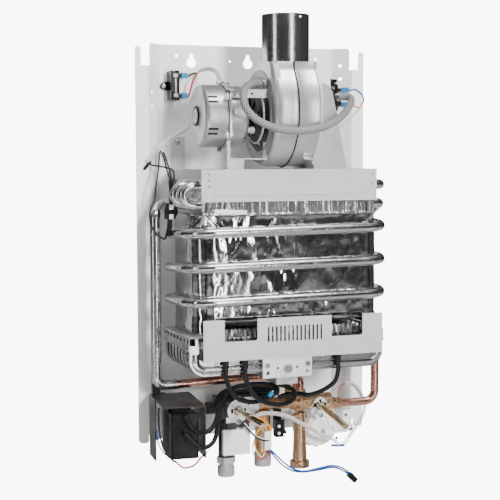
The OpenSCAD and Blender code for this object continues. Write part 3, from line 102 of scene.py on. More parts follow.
class Shape:
    """Faces of one piece, drawn in millimetres."""

    def __init__(self):
        self.mesh = bmesh.new()
        self.uv = self.mesh.loops.layers.uv.new("along")

    def block(self, low, high, bevel=0.4, turn=None):
        """A box with softened edges, turned about its middle."""
        low, high = Vector(low), Vector(high)
        size = high - low
        middle = (low + high) / 2
        place = Matrix.Translation(middle) @ (turn or Matrix.Identity(4)) @ Matrix.Diagonal((*size, 1))
        made = bmesh.ops.create_cube(self.mesh, size=1, matrix=place)
        if bevel:
            edges = list(dict.fromkeys(e for v in made["verts"] for e in v.link_edges))
            bmesh.ops.bevel(self.mesh, geom=edges, offset=bevel, segments=2, profile=0.7, affect="EDGES")

    def slab(self, middle, half, bevel=0.4, turn=None):
        """The same box, given by its middle and half its size."""
        middle, half = Vector(middle), Vector(half)
        self.block(middle - half, middle + half, bevel, turn)

    def lathe(self, origin, axis, profile, steps):
        """Turns (along, radius) points round an axis; ends are closed."""
        origin, axis = Vector(origin), Vector(axis).normalized()
        side = axis.orthogonal().normalized()
        other = axis.cross(side)
        rings = []
        for along, radius in profile:
            centre = origin + axis * along
            if radius < 1e-4:
                rings.append([self.mesh.verts.new(centre)])
                continue
            ring = []
            for i in range(steps):
                a = 2 * math.pi * i / steps
                ring.append(self.mesh.verts.new(centre + radius * (math.cos(a) * side + math.sin(a) * other)))
            rings.append(ring)
        for a, b in zip(rings, rings[1:]):
            for i in range(steps):
                j = (i + 1) % steps
                if len(a) == 1 and len(b) == 1:
                    continue
                if len(a) == 1:
                    self.mesh.faces.new((a[0], b[j], b[i]))
                elif len(b) == 1:
                    self.mesh.faces.new((a[i], a[j], b[0]))
                else:
                    self.mesh.faces.new((a[i], a[j], b[j], b[i]))
        for ring in (rings[0], rings[-1]):
            if len(ring) > 1 and profile[0] != profile[-1]:
                self.mesh.faces.new(ring)

    def sweep(self, line, radius, sides):
        """A round bar along a line, closed at its ends, with a UV map that runs along it in metres."""
        p = [Vector(q) for q in line]
        count = len(p)
        rings = []
        normal = None
        lengths = [0.0]
        for i in range(count):
            ahead = (p[min(i + 1, count - 1)] - p[i]).normalized()
            behind = (p[i] - p[max(i - 1, 0)]).normalized()
            h = (ahead + behind).normalized()
            if normal is None:
                normal = h.cross(Vector((0, 0, 1)) if abs(h.z) < 0.9 else Vector((0, 1, 0))).normalized()
            normal = (normal - h * normal.dot(h)).normalized()
            b = h.cross(normal)
            ring = []
            for j in range(sides):
                a = 2 * math.pi * j / sides
                ring.append(self.mesh.verts.new(p[i] + radius * (math.cos(a) * normal + math.sin(a) * b)))
            rings.append(ring)
            if i:
                lengths.append(lengths[-1] + (p[i] - p[i - 1]).length)
        for i in range(count - 1):
            for j in range(sides):
                k = (j + 1) % sides
                face = self.mesh.faces.new((rings[i][j], rings[i][k], rings[i + 1][k], rings[i + 1][j]))
                corners = ((j, i), (j + 1, i), (j + 1, i + 1), (j, i + 1))
                for loop, (u, v) in zip(face.loops, corners):
                    loop[self.uv].uv = (u / sides, lengths[v] * MM)
        self.mesh.faces.new(list(reversed(rings[0])))
        self.mesh.faces.new(rings[-1])

    def piece(self, name, finish, slot, replaces=(), sharp=38):
        """Makes the mesh, gives it its finish and hangs it on the heater."""
        bmesh.ops.remove_doubles(self.mesh, verts=self.mesh.verts, dist=1e-4)
        bmesh.ops.recalc_face_normals(self.mesh, faces=self.mesh.faces)
        self.mesh.transform(Matrix.Scale(MM, 4))
        data = bpy.data.meshes.new(name)
        self.mesh.to_mesh(data)
        self.mesh.free()
        data.shade_smooth()
        data.set_sharp_from_angle(angle=math.radians(sharp))
        return hang(bpy.data.objects.new(name, data), finish, replaces=replaces)


def hang(thing, finish, body="heater", replaces=()):
    """Links a piece at the origin, gives it one finish and lets it ride on a body."""
    bpy.context.scene.collection.objects.link(thing)
    thing.data.materials.clear()
    thing.data.materials.append(finish)
    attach(thing, body)
    if replaces:
        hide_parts(*replaces)
    return thing


def strands(name, finish, slot, lines, radius, sides=10, steps=6, replaces=()):
    """Wires or sleeves of one colour as one piece, each along its own smooth line."""
    shape = Shape()
    for points in lines:
        shape.sweep(curve(points, steps), radius, sides)
    return shape.piece(name, finish, slot, replaces=replaces)


def turned_piece(name, origin, axis, profile, steps, finish, slot):
    """A piece of one turned form."""
    shape = Shape()
    shape.lathe(origin, axis, profile, steps)
    return shape.piece(name, finish, slot)


# Shader groups shared by the finishes.
def effect(name, inputs, outputs):
    """An empty shader group with named sockets."""
    group = bpy.data.node_groups.new(name, "ShaderNodeTree")
    for label, kind, value in inputs:
        socket = group.interface.new_socket(name=label, in_out="INPUT", socket_type=kind)
        if value is not None:
            socket.default_value = value
    for label, kind in outputs:
        group.interface.new_socket(name=label, in_out="OUTPUT", socket_type=kind)
    return group, group.nodes.new("NodeGroupInput"), group.nodes.new("NodeGroupOutput")


def add(tree, kind, **values):
    """Adds a node and sets its plain properties."""
    node = tree.nodes.new(kind)
    for key, value in values.items():
        setattr(node, key, value)
    return node


def noise_node(tree, vector, scale, detail=4.0, rough=0.55, distortion=0.0):
    """A noise texture on a vector."""
    node = add(tree, "ShaderNodeTexNoise")
    tree.links.new(vector, node.inputs["Vector"])
    if isinstance(scale, (int, float)):
        node.inputs["Scale"].default_value = scale
    else:
        tree.links.new(scale, node.inputs["Scale"])
    node.inputs["Detail"].default_value = detail
    node.inputs["Roughness"].default_value = rough
    node.inputs["Distortion"].default_value = distortion
    return node


def ranged(tree, value, low, high, to_low, to_high):
    """Maps a value from one range to another, held at its ends."""
    node = add(tree, "ShaderNodeMapRange")
    tree.links.new(value, node.inputs["Value"])
    for key, number in (("From Min", low), ("From Max", high), ("To Min", to_low), ("To Max", to_high)):
        if isinstance(number, (int, float)):
            node.inputs[key].default_value = number
        else:
            tree.links.new(number, node.inputs[key])
    return node.outputs["Result"]


def blended(tree, share, a, b):
    """Mixes two colours by a share."""
    node = add(tree, "ShaderNodeMix", data_type="RGBA")
    tree.links.new(share, node.inputs["Factor"])
    for index, value in ((6, a), (7, b)):
        if isinstance(value, (tuple, list)):
            node.inputs[index].default_value = (*value[:3], 1)
        else:
            tree.links.new(value, node.inputs[index])
    return node.outputs[2]


def math_node(tree, operation, a, b=None, c=None):
    """One step of arithmetic."""
    node = add(tree, "ShaderNodeMath", operation=operation)
    for socket, value in zip(node.inputs, (a, b, c)):
        if value is None:
            continue
        if isinstance(value, (int, float)):
            socket.default_value = value
        else:
            tree.links.new(value, socket)
    return node.outputs[0]


COLOUR, VALUE, VECTOR = "NodeSocketColor", "NodeSocketFloat", "NodeSocketVector"


def make_patches():
    """Soft patches of a second colour, and the same patches as roughness."""
    group, here, out = effect(
        "patches",
        [("Vector", VECTOR, None), ("Scale", VALUE, 20.0), ("Colour", COLOUR, None), ("Patch", COLOUR, None),
         ("Amount", VALUE, 0.5), ("Smooth", VALUE, 0.3), ("Dull", VALUE, 0.5)],
        [("Colour", COLOUR), ("Roughness", VALUE), ("Mask", VALUE)],
    )
    cloud = noise_node(group, here.outputs["Vector"], here.outputs["Scale"], 6, 0.62, 0.4)
    spread = ranged(group, cloud.outputs["Fac"], 0.38, 0.68, 0, 1)
    share = math_node(group, "MULTIPLY", spread, here.outputs["Amount"])
    colour = blended(group, share, here.outputs["Colour"], here.outputs["Patch"])
    rough = ranged(group, spread, 0, 1, here.outputs["Smooth"], here.outputs["Dull"])
    group.links.new(colour, out.inputs["Colour"])
    group.links.new(rough, out.inputs["Roughness"])
    group.links.new(share, out.inputs["Mask"])
    return group


def make_grain():
    """Fine surface relief as a height, stretched along one axis where the sheet is brushed."""
    group, here, out = effect(
        "grain",
        [("Vector", VECTOR, None), ("Stretch", VECTOR, (1.0, 1.0, 1.0)), ("Fine", VALUE, 900.0),
         ("Coarse", VALUE, 90.0), ("Coarse Share", VALUE, 0.4)],
        [("Height", VALUE), ("Streak", VALUE)],
    )
    scaled = add(group, "ShaderNodeVectorMath", operation="MULTIPLY")
    group.links.new(here.outputs["Vector"], scaled.inputs[0])
    group.links.new(here.outputs["Stretch"], scaled.inputs[1])
    fine = noise_node(group, scaled.outputs[0], here.outputs["Fine"], 3, 0.6)
    coarse = noise_node(group, scaled.outputs[0], here.outputs["Coarse"], 3, 0.5)
    wide = math_node(group, "MULTIPLY", coarse.outputs["Fac"], here.outputs["Coarse Share"])
    group.links.new(math_node(group, "ADD", fine.outputs["Fac"], wide), out.inputs["Height"])
    group.links.new(fine.outputs["Fac"], out.inputs["Streak"])
    return group


def make_spangle():
    """Zinc crystals: each cell its own grey and gloss."""
    group, here, out = effect(
        "zinc_spangle",
        [("Vector", VECTOR, None), ("Scale", VALUE, 120.0), ("Colour", COLOUR, None), ("Dark", COLOUR, None)],
        [("Colour", COLOUR), ("Roughness", VALUE)],
    )
    cells = add(group, "ShaderNodeTexVoronoi")
    warp = noise_node(group, here.outputs["Vector"], 60.0, 2)
    shift = add(group, "ShaderNodeVectorMath", operation="MULTIPLY_ADD")
    group.links.new(warp.outputs["Color"], shift.inputs[0])
    shift.inputs[1].default_value = (0.012, 0.012, 0.012)
    group.links.new(here.outputs["Vector"], shift.inputs[2])
    group.links.new(shift.outputs[0], cells.inputs["Vector"])
    group.links.new(here.outputs["Scale"], cells.inputs["Scale"])
    grey = add(group, "ShaderNodeSeparateColor")
    group.links.new(cells.outputs["Color"], grey.inputs[0])
    colour = blended(group, grey.outputs[0], here.outputs["Colour"], here.outputs["Dark"])
    group.links.new(colour, out.inputs["Colour"])
    group.links.new(ranged(group, grey.outputs[1], 0, 1, 0.34, 0.52), out.inputs["Roughness"])
    return group


def make_dust():
    """Dust and handling marks: most on faces that look up, broken by cloud."""
    group, here, out = effect(
        "dust",
        [("Vector", VECTOR, None), ("Colour", COLOUR, None), ("Roughness", VALUE, 0.4),
         ("Dust", COLOUR, (0.55, 0.53, 0.5, 1)), ("Amount", VALUE, 0.2)],
        [("Colour", COLOUR), ("Roughness", VALUE)],
    )
    facing = add(group, "ShaderNodeNewGeometry")
    split = add(group, "ShaderNodeSeparateXYZ")
    group.links.new(facing.outputs["Normal"], split.inputs[0])
    upward = ranged(group, split.outputs["Z"], 0.1, 1.0, 0.25, 1.0)
    cloud = noise_node(group, here.outputs["Vector"], 35.0, 7, 0.7)
    broken = ranged(group, cloud.outputs["Fac"], 0.42, 0.72, 0, 1)
    share = math_node(group, "MULTIPLY", math_node(group, "MULTIPLY", upward, broken), here.outputs["Amount"])
    group.links.new(blended(group, share, here.outputs["Colour"], here.outputs["Dust"]), out.inputs["Colour"])
    duller = math_node(group, "MULTIPLY_ADD", share, 0.4, here.outputs["Roughness"])
    group.links.new(duller, out.inputs["Roughness"])
    return group


def make_braid():
    """Two sets of strands wound round a hose, crossing in diamonds, on the hose's own UV map."""
    group, here, out = effect(
        "hose_braid",
        [("Vector", VECTOR, None), ("Strands", VALUE, 8.0), ("Per Metre", VALUE, 190.0)],
        [("Height", VALUE), ("Strand", VALUE)],
    )
    split = add(group, "ShaderNodeSeparateXYZ")
    group.links.new(here.outputs["Vector"], split.inputs[0])
    round_it = math_node(group, "MULTIPLY", split.outputs["X"], here.outputs["Strands"])
    along = math_node(group, "MULTIPLY", split.outputs["Y"], here.outputs["Per Metre"])
    ridges = []
    for operation in ("ADD", "SUBTRACT"):
        wound = math_node(group, operation, along, round_it)
        swing = math_node(group, "PINGPONG", wound, 0.5)
        ridges.append(ranged(group, swing, 0.26, 0.5, 0, 1))
    top = math_node(group, "MAXIMUM", ridges[0], ridges[1])
    group.links.new(top, out.inputs["Height"])
    group.links.new(top, out.inputs["Strand"])
    return group


PATCHES = make_patches()
GRAIN = make_grain()
SPANGLE = make_spangle()
DUST = make_dust()
BRAID = make_braid()


class Finish:
    """A material whose colour, gloss and relief are built from the groups."""

    def __init__(self, name, metallic=0.0, coat=0.0, specular=0.5):
        self.material = bpy.data.materials.new(name)
        self.material.use_nodes = True
        self.tree = self.material.node_tree
        self.tree.nodes.clear()
        self.out = add(self.tree, "ShaderNodeOutputMaterial")
        self.shader = add(self.tree, "ShaderNodeBsdfPrincipled")
        self.tree.links.new(self.shader.outputs[0], self.out.inputs[0])
        self.shader.inputs["Metallic"].default_value = metallic
        self.shader.inputs["Coat Weight"].default_value = coat
        self.shader.inputs["Coat Roughness"].default_value = 0.12
        self.shader.inputs["Specular IOR Level"].default_value = specular
        self.place = add(self.tree, "ShaderNodeTexCoord").outputs["Object"]
        self.colour = None
        self.rough = None
        self.bump = None

    def group(self, kind, **values):
        """Places a shared group on this finish's own coordinates."""
        node = add(self.tree, "ShaderNodeGroup", node_tree=kind)
        self.tree.links.new(self.place, node.inputs["Vector"])
        for key, value in values.items():
            socket = node.inputs[key.replace("_", " ")]
            if hasattr(value, "is_output"):
                self.tree.links.new(value, socket)
            elif isinstance(value, (tuple, list)) and socket.type == "RGBA":
                socket.default_value = (*value[:3], 1)
            else:
                socket.default_value = value
        return node

    def drawn(self, x, y, z):
        """Stretches what follows along an axis, as rolled or folded metal shows it."""
        node = add(self.tree, "ShaderNodeVectorMath", operation="MULTIPLY")
        self.tree.links.new(self.place, node.inputs[0])
        node.inputs[1].default_value = (x, y, z)
        self.place = node.outputs[0]
        return self

    def patches(self, colour, patch, scale=20, amount=0.5, smooth=0.3, dull=0.5):
        """Two colours in soft patches, the second one duller."""
        node = self.group(PATCHES, Scale=scale, Colour=colour, Patch=patch, Amount=amount,
                          Smooth=smooth, Dull=dull)
        self.colour, self.rough = node.outputs["Colour"], node.outputs["Roughness"]
        return self

    def spangle(self, colour, dark, scale=120):
        """The crystals of a zinc coat."""
        node = self.group(SPANGLE, Scale=scale, Colour=colour, Dark=dark)
        self.colour, self.rough = node.outputs["Colour"], node.outputs["Roughness"]
        return self

    def dust(self, amount=0.2, colour=(0.55, 0.53, 0.5)):
        """Dust over what is there."""
        node = self.group(DUST, Colour=self.colour, Roughness=self.rough, Dust=colour, Amount=amount)
        self.colour, self.rough = node.outputs["Colour"], node.outputs["Roughness"]
        return self

    def raise_height(self, height, strength, depth):
        """Adds relief on top of the relief that is there."""
        node = add(self.tree, "ShaderNodeBump")
        node.inputs["Strength"].default_value = strength
        node.inputs["Distance"].default_value = depth
        self.tree.links.new(height, node.inputs["Height"])
        if self.bump is not None:
            self.tree.links.new(self.bump, node.inputs["Normal"])
        self.bump = node.outputs["Normal"]
        return self

    def grain(self, strength=0.15, stretch=(1, 1, 1), fine=900, coarse=90, share=0.4, depth=0.0004):
        """Fine relief, stretched where the metal is brushed."""
        node = self.group(GRAIN, Stretch=stretch, Fine=fine, Coarse=coarse, Coarse_Share=share)
        return self.raise_height(node.outputs["Height"], strength, depth)

    def done(self):
        """Joins colour, gloss and relief to the shader."""
        links = self.tree.links
        links.new(self.colour, self.shader.inputs["Base Color"])
        links.new(self.rough, self.shader.inputs["Roughness"])
        if self.bump is not None:
            links.new(self.bump, self.shader.inputs["Normal"])
        return self.material


# Finishes, one for each thing the heater is made of.
enamel = (
    Finish("white_enamel", coat=0.35)
    .patches((0.80, 0.80, 0.79), (0.70, 0.70, 0.69), 9, 0.35, 0.32, 0.42)
    .dust(0.12)
    .grain(0.06, fine=1400, coarse=160)
    .done()
)
hood_sheet = (
    Finish("satin_coated_sheet", metallic=0.3)
    .patches((0.52, 0.52, 0.525), (0.46, 0.46, 0.465), 14, 0.4, 0.34, 0.46)
    .dust(0.1)
    .grain(0.07, (1, 1, 5), 700, 60)
    .done()
)
scroll_sheet = (
    Finish("aluminised_sheet", metallic=0.85)
    .patches((0.82, 0.82, 0.825), (0.5, 0.5, 0.505), 24, 0.5, 0.3, 0.4)
    .dust(0.12)
    .grain(0.10, (1, 1, 1), 1300, 130, 0.6)
    .done()
)
flue_steel = (
    Finish("brushed_stainless", metallic=1.0)
    .patches((0.72, 0.72, 0.73), (0.6, 0.6, 0.61), 12, 0.4, 0.2, 0.28)
    .grain(0.06, (1, 1, 14), 420, 60, 0.2)
    .done()
)
motor_steel = (
    Finish("zinc_plated_motor_shell", metallic=0.92)
    .patches((0.66, 0.66, 0.665), (0.42, 0.42, 0.425), 30, 0.45, 0.26, 0.4)
    .dust(0.12)
    .grain(0.09, (5, 1, 1), 700, 90)
    .done()
)
bracket_steel = (
    Finish("plated_bracket_steel", metallic=0.7)
    .patches((0.66, 0.66, 0.665), (0.46, 0.46, 0.46), 45, 0.4, 0.24, 0.4)
    .dust(0.1)
    .grain(0.08)
    .done()
)
tinned_pipe = (
    Finish("tinned_pipe", metallic=1.0)
    .patches((0.80, 0.80, 0.81), (0.42, 0.41, 0.40), 26, 0.55, 0.10, 0.34)
    .grain(0.16, (1, 1, 1), 200, 45, 1.2, 0.001)
    .done()
)
tinned_foil = (
    Finish("tinned_chamber_sheet", metallic=1.0)
    .patches((0.74, 0.74, 0.75), (0.2, 0.195, 0.19), 13, 0.65, 0.05, 0.2)
    .grain(0.16, (1, 1, 0.6), 130, 34, 1.6, 0.0012)
    .done()
)
fin_metal = (
    Finish("tinned_fins", metallic=1.0)
    .patches((0.82, 0.82, 0.83), (0.5, 0.49, 0.48), 60, 0.5, 0.12, 0.34)
    .grain(0.3, (1, 1, 0.3), 500, 90, 0.8, 0.0008)
    .done()
)
zinc_sheet = (
    Finish("galvanised_sheet", metallic=0.7)
    .spangle((0.58, 0.59, 0.6), (0.42, 0.43, 0.44), 130)
    .dust(0.15)
    .grain(0.05)
    .done()
)
burner_steel = (
    Finish("rolled_burner_steel", metallic=1.0)
    .patches((0.72, 0.72, 0.73), (0.3, 0.29, 0.28), 26, 0.55, 0.1, 0.26)
    .grain(0.08, (1, 6, 6), 500, 60)
    .done()
)
cast_metal = (
    Finish("die_cast_body", metallic=0.7)
    .patches((0.075, 0.075, 0.078), (0.04, 0.04, 0.04), 40, 0.5, 0.4, 0.55)
    .dust(0.04)
    .grain(0.35, fine=1100, coarse=220, share=0.8)
    .done()
)
copper = (
    Finish("bare_copper", metallic=1.0)
    .patches((0.82, 0.45, 0.34), (0.46, 0.21, 0.14), 30, 0.5, 0.2, 0.38)
    .grain(0.12, fine=600, coarse=90)
    .done()
)
brass = (
    Finish("cast_brass", metallic=1.0)
    .patches((0.80, 0.52, 0.31), (0.52, 0.30, 0.165), 40, 0.4, 0.24, 0.36)
    .grain(0.05, fine=1500, coarse=420, share=0.9)
    .done()
)
# Very dark steel for the igniter bracket.
dark_steel = (
    Finish("very_dark_bracket_steel", metallic=0.6)
    .patches((0.045, 0.045, 0.047), (0.028, 0.028, 0.03), 40, 0.4, 0.3, 0.42)
    .grain(0.06, fine=1200, coarse=150)
    .done()
)
screw_steel = (
    Finish("screw_steel", metallic=0.9)
    .patches((0.46, 0.46, 0.47), (0.22, 0.22, 0.22), 160, 0.5, 0.18, 0.34)
    .grain(0.1)
    .done()
)
tin_strip = (
    Finish("flattened_tin_strip", metallic=0.35)
    .patches((0.96, 0.96, 0.96), (0.8, 0.8, 0.8), 80, 0.4, 0.26, 0.4)
    .grain(0.15, fine=500, coarse=150)
    .done()
)
# White and near-black streaks on the folded tabs: painted glints and shade on the tinned metal.
glint_painted_folds = (
    Finish("folded_fin_edges", metallic=0.85)
    .drawn(1, 1, 0.1)
    .patches((0.98, 0.98, 0.98), (0.03, 0.03, 0.03), 380, 1.0, 0.1, 0.3)
    .grain(0.5, (1, 1, 1), 420, 90, 0.8, 0.0008)
    .done()
)
bright_plate = (
    Finish("bright_zinc_plate", metallic=0.5)
    .patches((0.86, 0.86, 0.865), (0.66, 0.66, 0.66), 45, 0.4, 0.2, 0.34)
    .grain(0.06)
    .done()
)
# A darker copy of the aluminised sheet, for parts that lie in shade: painted shade.
shade_painted_sheet = (
    Finish("shaded_aluminised_sheet", metallic=0.7)
    .patches((0.34, 0.34, 0.345), (0.2, 0.2, 0.2), 24, 0.5, 0.3, 0.44)
    .grain(0.1, (1, 1, 1), 1300, 130, 0.6)
    .done()
)
cast_iron_grey = (
    Finish("grey_sleeve", metallic=0.5)
    .patches((0.5, 0.5, 0.505), (0.36, 0.36, 0.365), 40, 0.4, 0.3, 0.45)
    .grain(0.15)
    .done()
)
shaft_metal = (
    Finish("nickelled_shaft", metallic=1.0)
    .patches((0.78, 0.67, 0.46), (0.66, 0.55, 0.36), 40, 0.2, 0.2, 0.26)
    .grain(0.006, (1, 0.2, 1), 1500, 300)
    .done()
)
black_gloss = (
    Finish("black_moulding", specular=0.4)
    .patches((0.004, 0.004, 0.0045), (0.008, 0.008, 0.0085), 50, 0.5, 0.1, 0.22)
    .grain(0.05, fine=1500, coarse=150)
    .done()
)
black_matt = (
    Finish("black_rubber", specular=0.35)
    .patches((0.005, 0.005, 0.0055), (0.013, 0.013, 0.0135), 60, 0.5, 0.34, 0.5)
    .grain(0.08)
    .done()
)
white_moulding = (
    Finish("white_moulding", coat=0.1)
    .patches((0.82, 0.82, 0.81), (0.73, 0.73, 0.71), 40, 0.4, 0.36, 0.5)
    .dust(0.08)
    .grain(0.08)
    .done()
)


def wire_coat(name, colour):
    """Coloured wire insulation."""
    dark = tuple(c * 0.7 for c in colour)
    return Finish(name).patches(colour, dark, 80, 0.4, 0.34, 0.5).grain(0.06).done()


red_wire = wire_coat("red_insulation", (0.42, 0.008, 0.012))
blue_wire = wire_coat("blue_insulation", (0.012, 0.07, 0.30))
yellow_wire = wire_coat("yellow_insulation", (0.85, 0.58, 0.04))
orange_wire = wire_coat("orange_insulation", (0.7, 0.2, 0.03))
black_wire = wire_coat("black_insulation", (0.012, 0.012, 0.014))
white_wire = wire_coat("white_insulation", (0.78, 0.78, 0.76))
terminal_blue = wire_coat("blue_terminal_sleeve", (0.015, 0.17, 0.36))


def make_clear_sleeve():
    """Milky plastic that lets the wires inside it show."""
    plastic = Finish("clear_sleeve", coat=0.3)
    plastic.patches((0.84, 0.83, 0.82), (0.72, 0.68, 0.66), 60, 0.5, 0.2, 0.34).grain(0.1)
    plastic.shader.inputs["Alpha"].default_value = 0.45
    return plastic.done()


def make_hose_skin():
    """Dark rubber under pale crossing strands."""
    rubber = Finish("braided_hose", coat=0.25)
    rubber.place = add(rubber.tree, "ShaderNodeTexCoord").outputs["UV"]
    braid = rubber.group(BRAID)
    rubber.rough = ranged(rubber.tree, braid.outputs["Strand"], 0, 1, 0.28, 0.5)
    rubber.colour = blended(rubber.tree, braid.outputs["Strand"], (0.07, 0.07, 0.072), (0.34, 0.34, 0.34))
    return rubber.raise_height(braid.outputs["Height"], 0.5, 0.0006).done()


clear_sleeve = make_clear_sleeve()
hose_skin = make_hose_skin()

# The plain nodes, each in the finish of the real piece; the electrodes and the impeller are in the darker
# sheet of painted shade.
NODE_FINISH = {
    enamel: ["back_pan"],
    hood_sheet: ["smoke_hood", "burner_front_plate"],
    scroll_sheet: ["scroll_left_shell", "scroll_right_shell", "suction_box"],
    flue_steel: ["flue_collar"],
    motor_steel: ["motor_rear_shell", "motor_front_shell"],
    screw_steel: ["motor_clamp_screws", "hose_clips", "manifold_screws"],
    bright_plate: ["manifold_plate", "gas_knob_plate", "water_knob_plate"],
    shade_painted_sheet: ["electrodes", "impeller"],
    bracket_steel: ["motor_bracket", "flow_rod", "switch_lever", "motor_rotor", "motor_bushes"],
    cast_iron_grey: ["gas_union"],
    dark_steel: ["igniter_bracket"],
    tinned_pipe: ["fin_tubes", "down_pipe", "coil_pipe"],
    tinned_foil: ["combustion_chamber"],
    fin_metal: ["fin_block"],
    zinc_sheet: ["burner_rack", "gas_manifold"],
    burner_steel: ["burner_bars"],
    cast_metal: ["gas_valve_body", "motor_stator"],
    copper: ["hot_copper_pipe", "cold_copper_pipe"],
    brass: ["brass_body", "hot_outlet", "cold_inlet", "gas_nozzles"],
    shaft_metal: ["gas_control_shaft", "water_control_shaft"],
    black_gloss: ["run_capacitor", "pressure_switch", "igniter_box", "microswitch", "lead_plug"],
    black_matt: ["electrode_boots", "ignition_leads", "overheat_switch", "cooling_disc"],
    white_moulding: ["solenoid_box", "wire_connector", "diaphragm_housing"],
    terminal_blue: ["terminal_sleeves"],
    red_wire: ["capacitor_leads"],
    yellow_wire: ["wire_harness"],
    blue_wire: ["lead_wire_left", "lead_wire_right"],
    hose_skin: ["pressure_hose"],
}
for finish, names in NODE_FINISH.items():
    for name in names:
        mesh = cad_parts[name].data
        for index in range(max(1, len(mesh.materials))):
            if len(mesh.materials):
                mesh.materials[index] = finish
            else:
                mesh.materials.append(finish)

# Places that several pieces share, in millimetres: x to the right, z up, the wall at y 0.
ALONG_X = (1, 0, 0)
OUTWARDS = (0, -1, 0)
fan_y, fan_z = -82.0, 164.5
motor_joint, eye_face = -64.9, -14.9
riser_x, valve_y, valve_z = 146.0, -91.0, -205.0
gas_x, water_x, knob_z = -51, 61, -208
hood_face = -136.35
boot_y, boot_z = -152.05, -145.2
switch_x, switch_y, switch_z = 90, -70, 190.5
switch_swing = math.radians(23)


def about_fan(x, radius, degrees=0.0):
    """A point round the fan's axis: 0 degrees looks to the wall and 90 degrees up."""
    a = math.radians(degrees)
    return Vector((x, fan_y + radius * math.cos(a), fan_z + radius * math.sin(a)))


def at_switch(along, side, z=switch_z):
    """A point of the turned pressure switch, from its rim outwards and to its side."""
    c, s = math.cos(switch_swing), math.sin(switch_swing)
    return (switch_x + along * c + side * s, switch_y - along * s + side * c, z)


def band(length, inner, outer):
    """A closed profile of a plain ring, from 0 to its length."""
    return [(0, inner), (0, outer), (length, outer), (length, inner), (0, inner)]


# The free lead pair with its plug, hanging below the heater.
lead_a = [(-10, -105.3, -261.4), (-2, -108, -272), (8, -111, -283), (22, -111, -291), (38, -110, -294),
          (58, -110, -293), (76, -108, -292), (90, -106, -296), (102, -104, -304)]
lead_b = [(-8, -105.3, -261.4), (1, -108.5, -271), (11, -112, -281), (24, -113, -289), (38, -113, -292),
          (58, -112, -290), (76, -110, -289), (92, -107, -294), (104, -104, -303)]
lead_r = 1.2
plug_seat = Vector((103, -104, -304))


def plug_shell():
    """The plug: a body, two cheeks round its mouth and a latch."""
    plug = Shape()
    tilt = Matrix.Rotation(math.radians(45), 4, "Y")
    body = (0, -3.8, -3.6), (9, 3.8, 3.6), 0.6
    front_cheek = (9, -3.8, -3.6), (13.8, -1.6, 3.6), 0.3
    rear_cheek = (9, 1.6, -3.6), (13.8, 3.8, 3.6), 0.3
    latch = (2, -1.2, 3.4), (11, 1.2, 4), 0.2
    for low, high, soft in (body, front_cheek, rear_cheek, latch):
        low, high = Vector(low), Vector(high)
        plug.slab(plug_seat + tilt.to_3x3() @ ((low + high) / 2), (high - low) / 2, soft, tilt)
    return plug.piece("lead_plug_shell", black_gloss, "black_plastic", replaces=["lead_plug"])


plug = plug_shell()
leads = (("lead_left", lead_a, "lead_wire_left"), ("lead_right", lead_b, "lead_wire_right"))
for name, points, node in leads:
    line = curve(points, 6)
    wire = Shape()
    wire.sweep(line, lead_r, 10)
    wire = wire.piece(name, blue_wire, "wire_blue", replaces=[node])

# Water pipes: the coil round the chamber, the pipe down the left side and the two copper ends.
tinned_r, copper_r = 6.35, 5.5
coil_x0, coil_x1, coil_front, coil_back = -121.35, 139.95, -141.55, -12.25
coil_z, coil_rise = -65.0, 42.5
coil_last = coil_z + 2 * coil_rise
tube_y, tube_z = -111.55, 53.35


def one_turn(z):
    """Corners of one turn of the coil, climbing along the back."""
    return [(coil_x0, coil_front, z), (coil_x1, coil_front, z + 4), (coil_x1, coil_back, z + 10),
            (coil_x0, coil_back, z + coil_rise - 6)]


def coil_line():
    """The coil's line: up from the valve, round the chamber and into the first fin tube."""
    wound = route(
        [(riser_x, valve_y, coil_z - 60), (riser_x, valve_y, coil_z - 30), (coil_x1, coil_back, coil_z - 14),
         (coil_x0, coil_back, coil_z - 4), *one_turn(coil_z), *one_turn(coil_z + coil_rise),
         (coil_x0, coil_front, coil_last), (coil_x1, coil_front, coil_last + 4),
         (coil_x1, tube_y + 30, coil_last + 8)], 30.65, 12)
    rising = curve(
        [(coil_x1, tube_y + 36, coil_last + 12), (coil_x1 + 2, tube_y + 30, coil_last + 20),
         (coil_x1 + 5, tube_y + 14, coil_last + 30), (coil_x1 + 2, tube_y + 3, tube_z - 0.4),
         (134.3, tube_y, tube_z)], 5)
    return wound + rising + [Vector((130.5, tube_y, tube_z))]


def water_pipe(name, line, radius, finish, slot, node):
    """The skin of one bent pipe, in place of the plain one."""
    pipe = Shape()
    pipe.sweep(line, radius, 24)
    pipe.piece(name, finish, slot, replaces=[node])


def water_pipes():
    """All four pipes; the left one comes down along the chamber and crosses below it."""
    cross_z, left_x, left_y = valve_z + 27, -145, -57
    down = route([(-111.9, -39.55, tube_z), (-133, -39.55, tube_z), (left_x, left_y, tube_z - 14),
                  (left_x, left_y, cross_z), (-118, left_y, cross_z)], 12, 12)
    hot_x, hot_z = 38.5, valve_z + 31
    hot = route([(-117.8, left_y, cross_z), (hot_x, left_y, hot_z), (hot_x, valve_y, hot_z),
                 (hot_x, valve_y, valve_z + 16.3)], 9, 12)
    cold_z = valve_z - 6
    cold = route([(riser_x, valve_y, coil_z - 60), (riser_x, valve_y, cold_z), (95, valve_y, cold_z)], 14, 12)
    water_pipe("coil_pipe_skin", coil_line(), tinned_r, tinned_pipe, "tinned_copper", "coil_pipe")
    water_pipe("down_pipe_skin", down, tinned_r, tinned_pipe, "tinned_copper", "down_pipe")
    water_pipe("hot_copper_skin", hot, copper_r, copper, "copper", "hot_copper_pipe")
    water_pipe("cold_copper_skin", cold, copper_r, copper, "copper", "cold_copper_pipe")


# Combustion chamber: a tinned sheet, dented and creased between the coil's turns.
chamber_y0, chamber_y1 = -134.9, -18.9
chamber_low, chamber_shoulder, chamber_top = -106.0, 28.0, 42.0


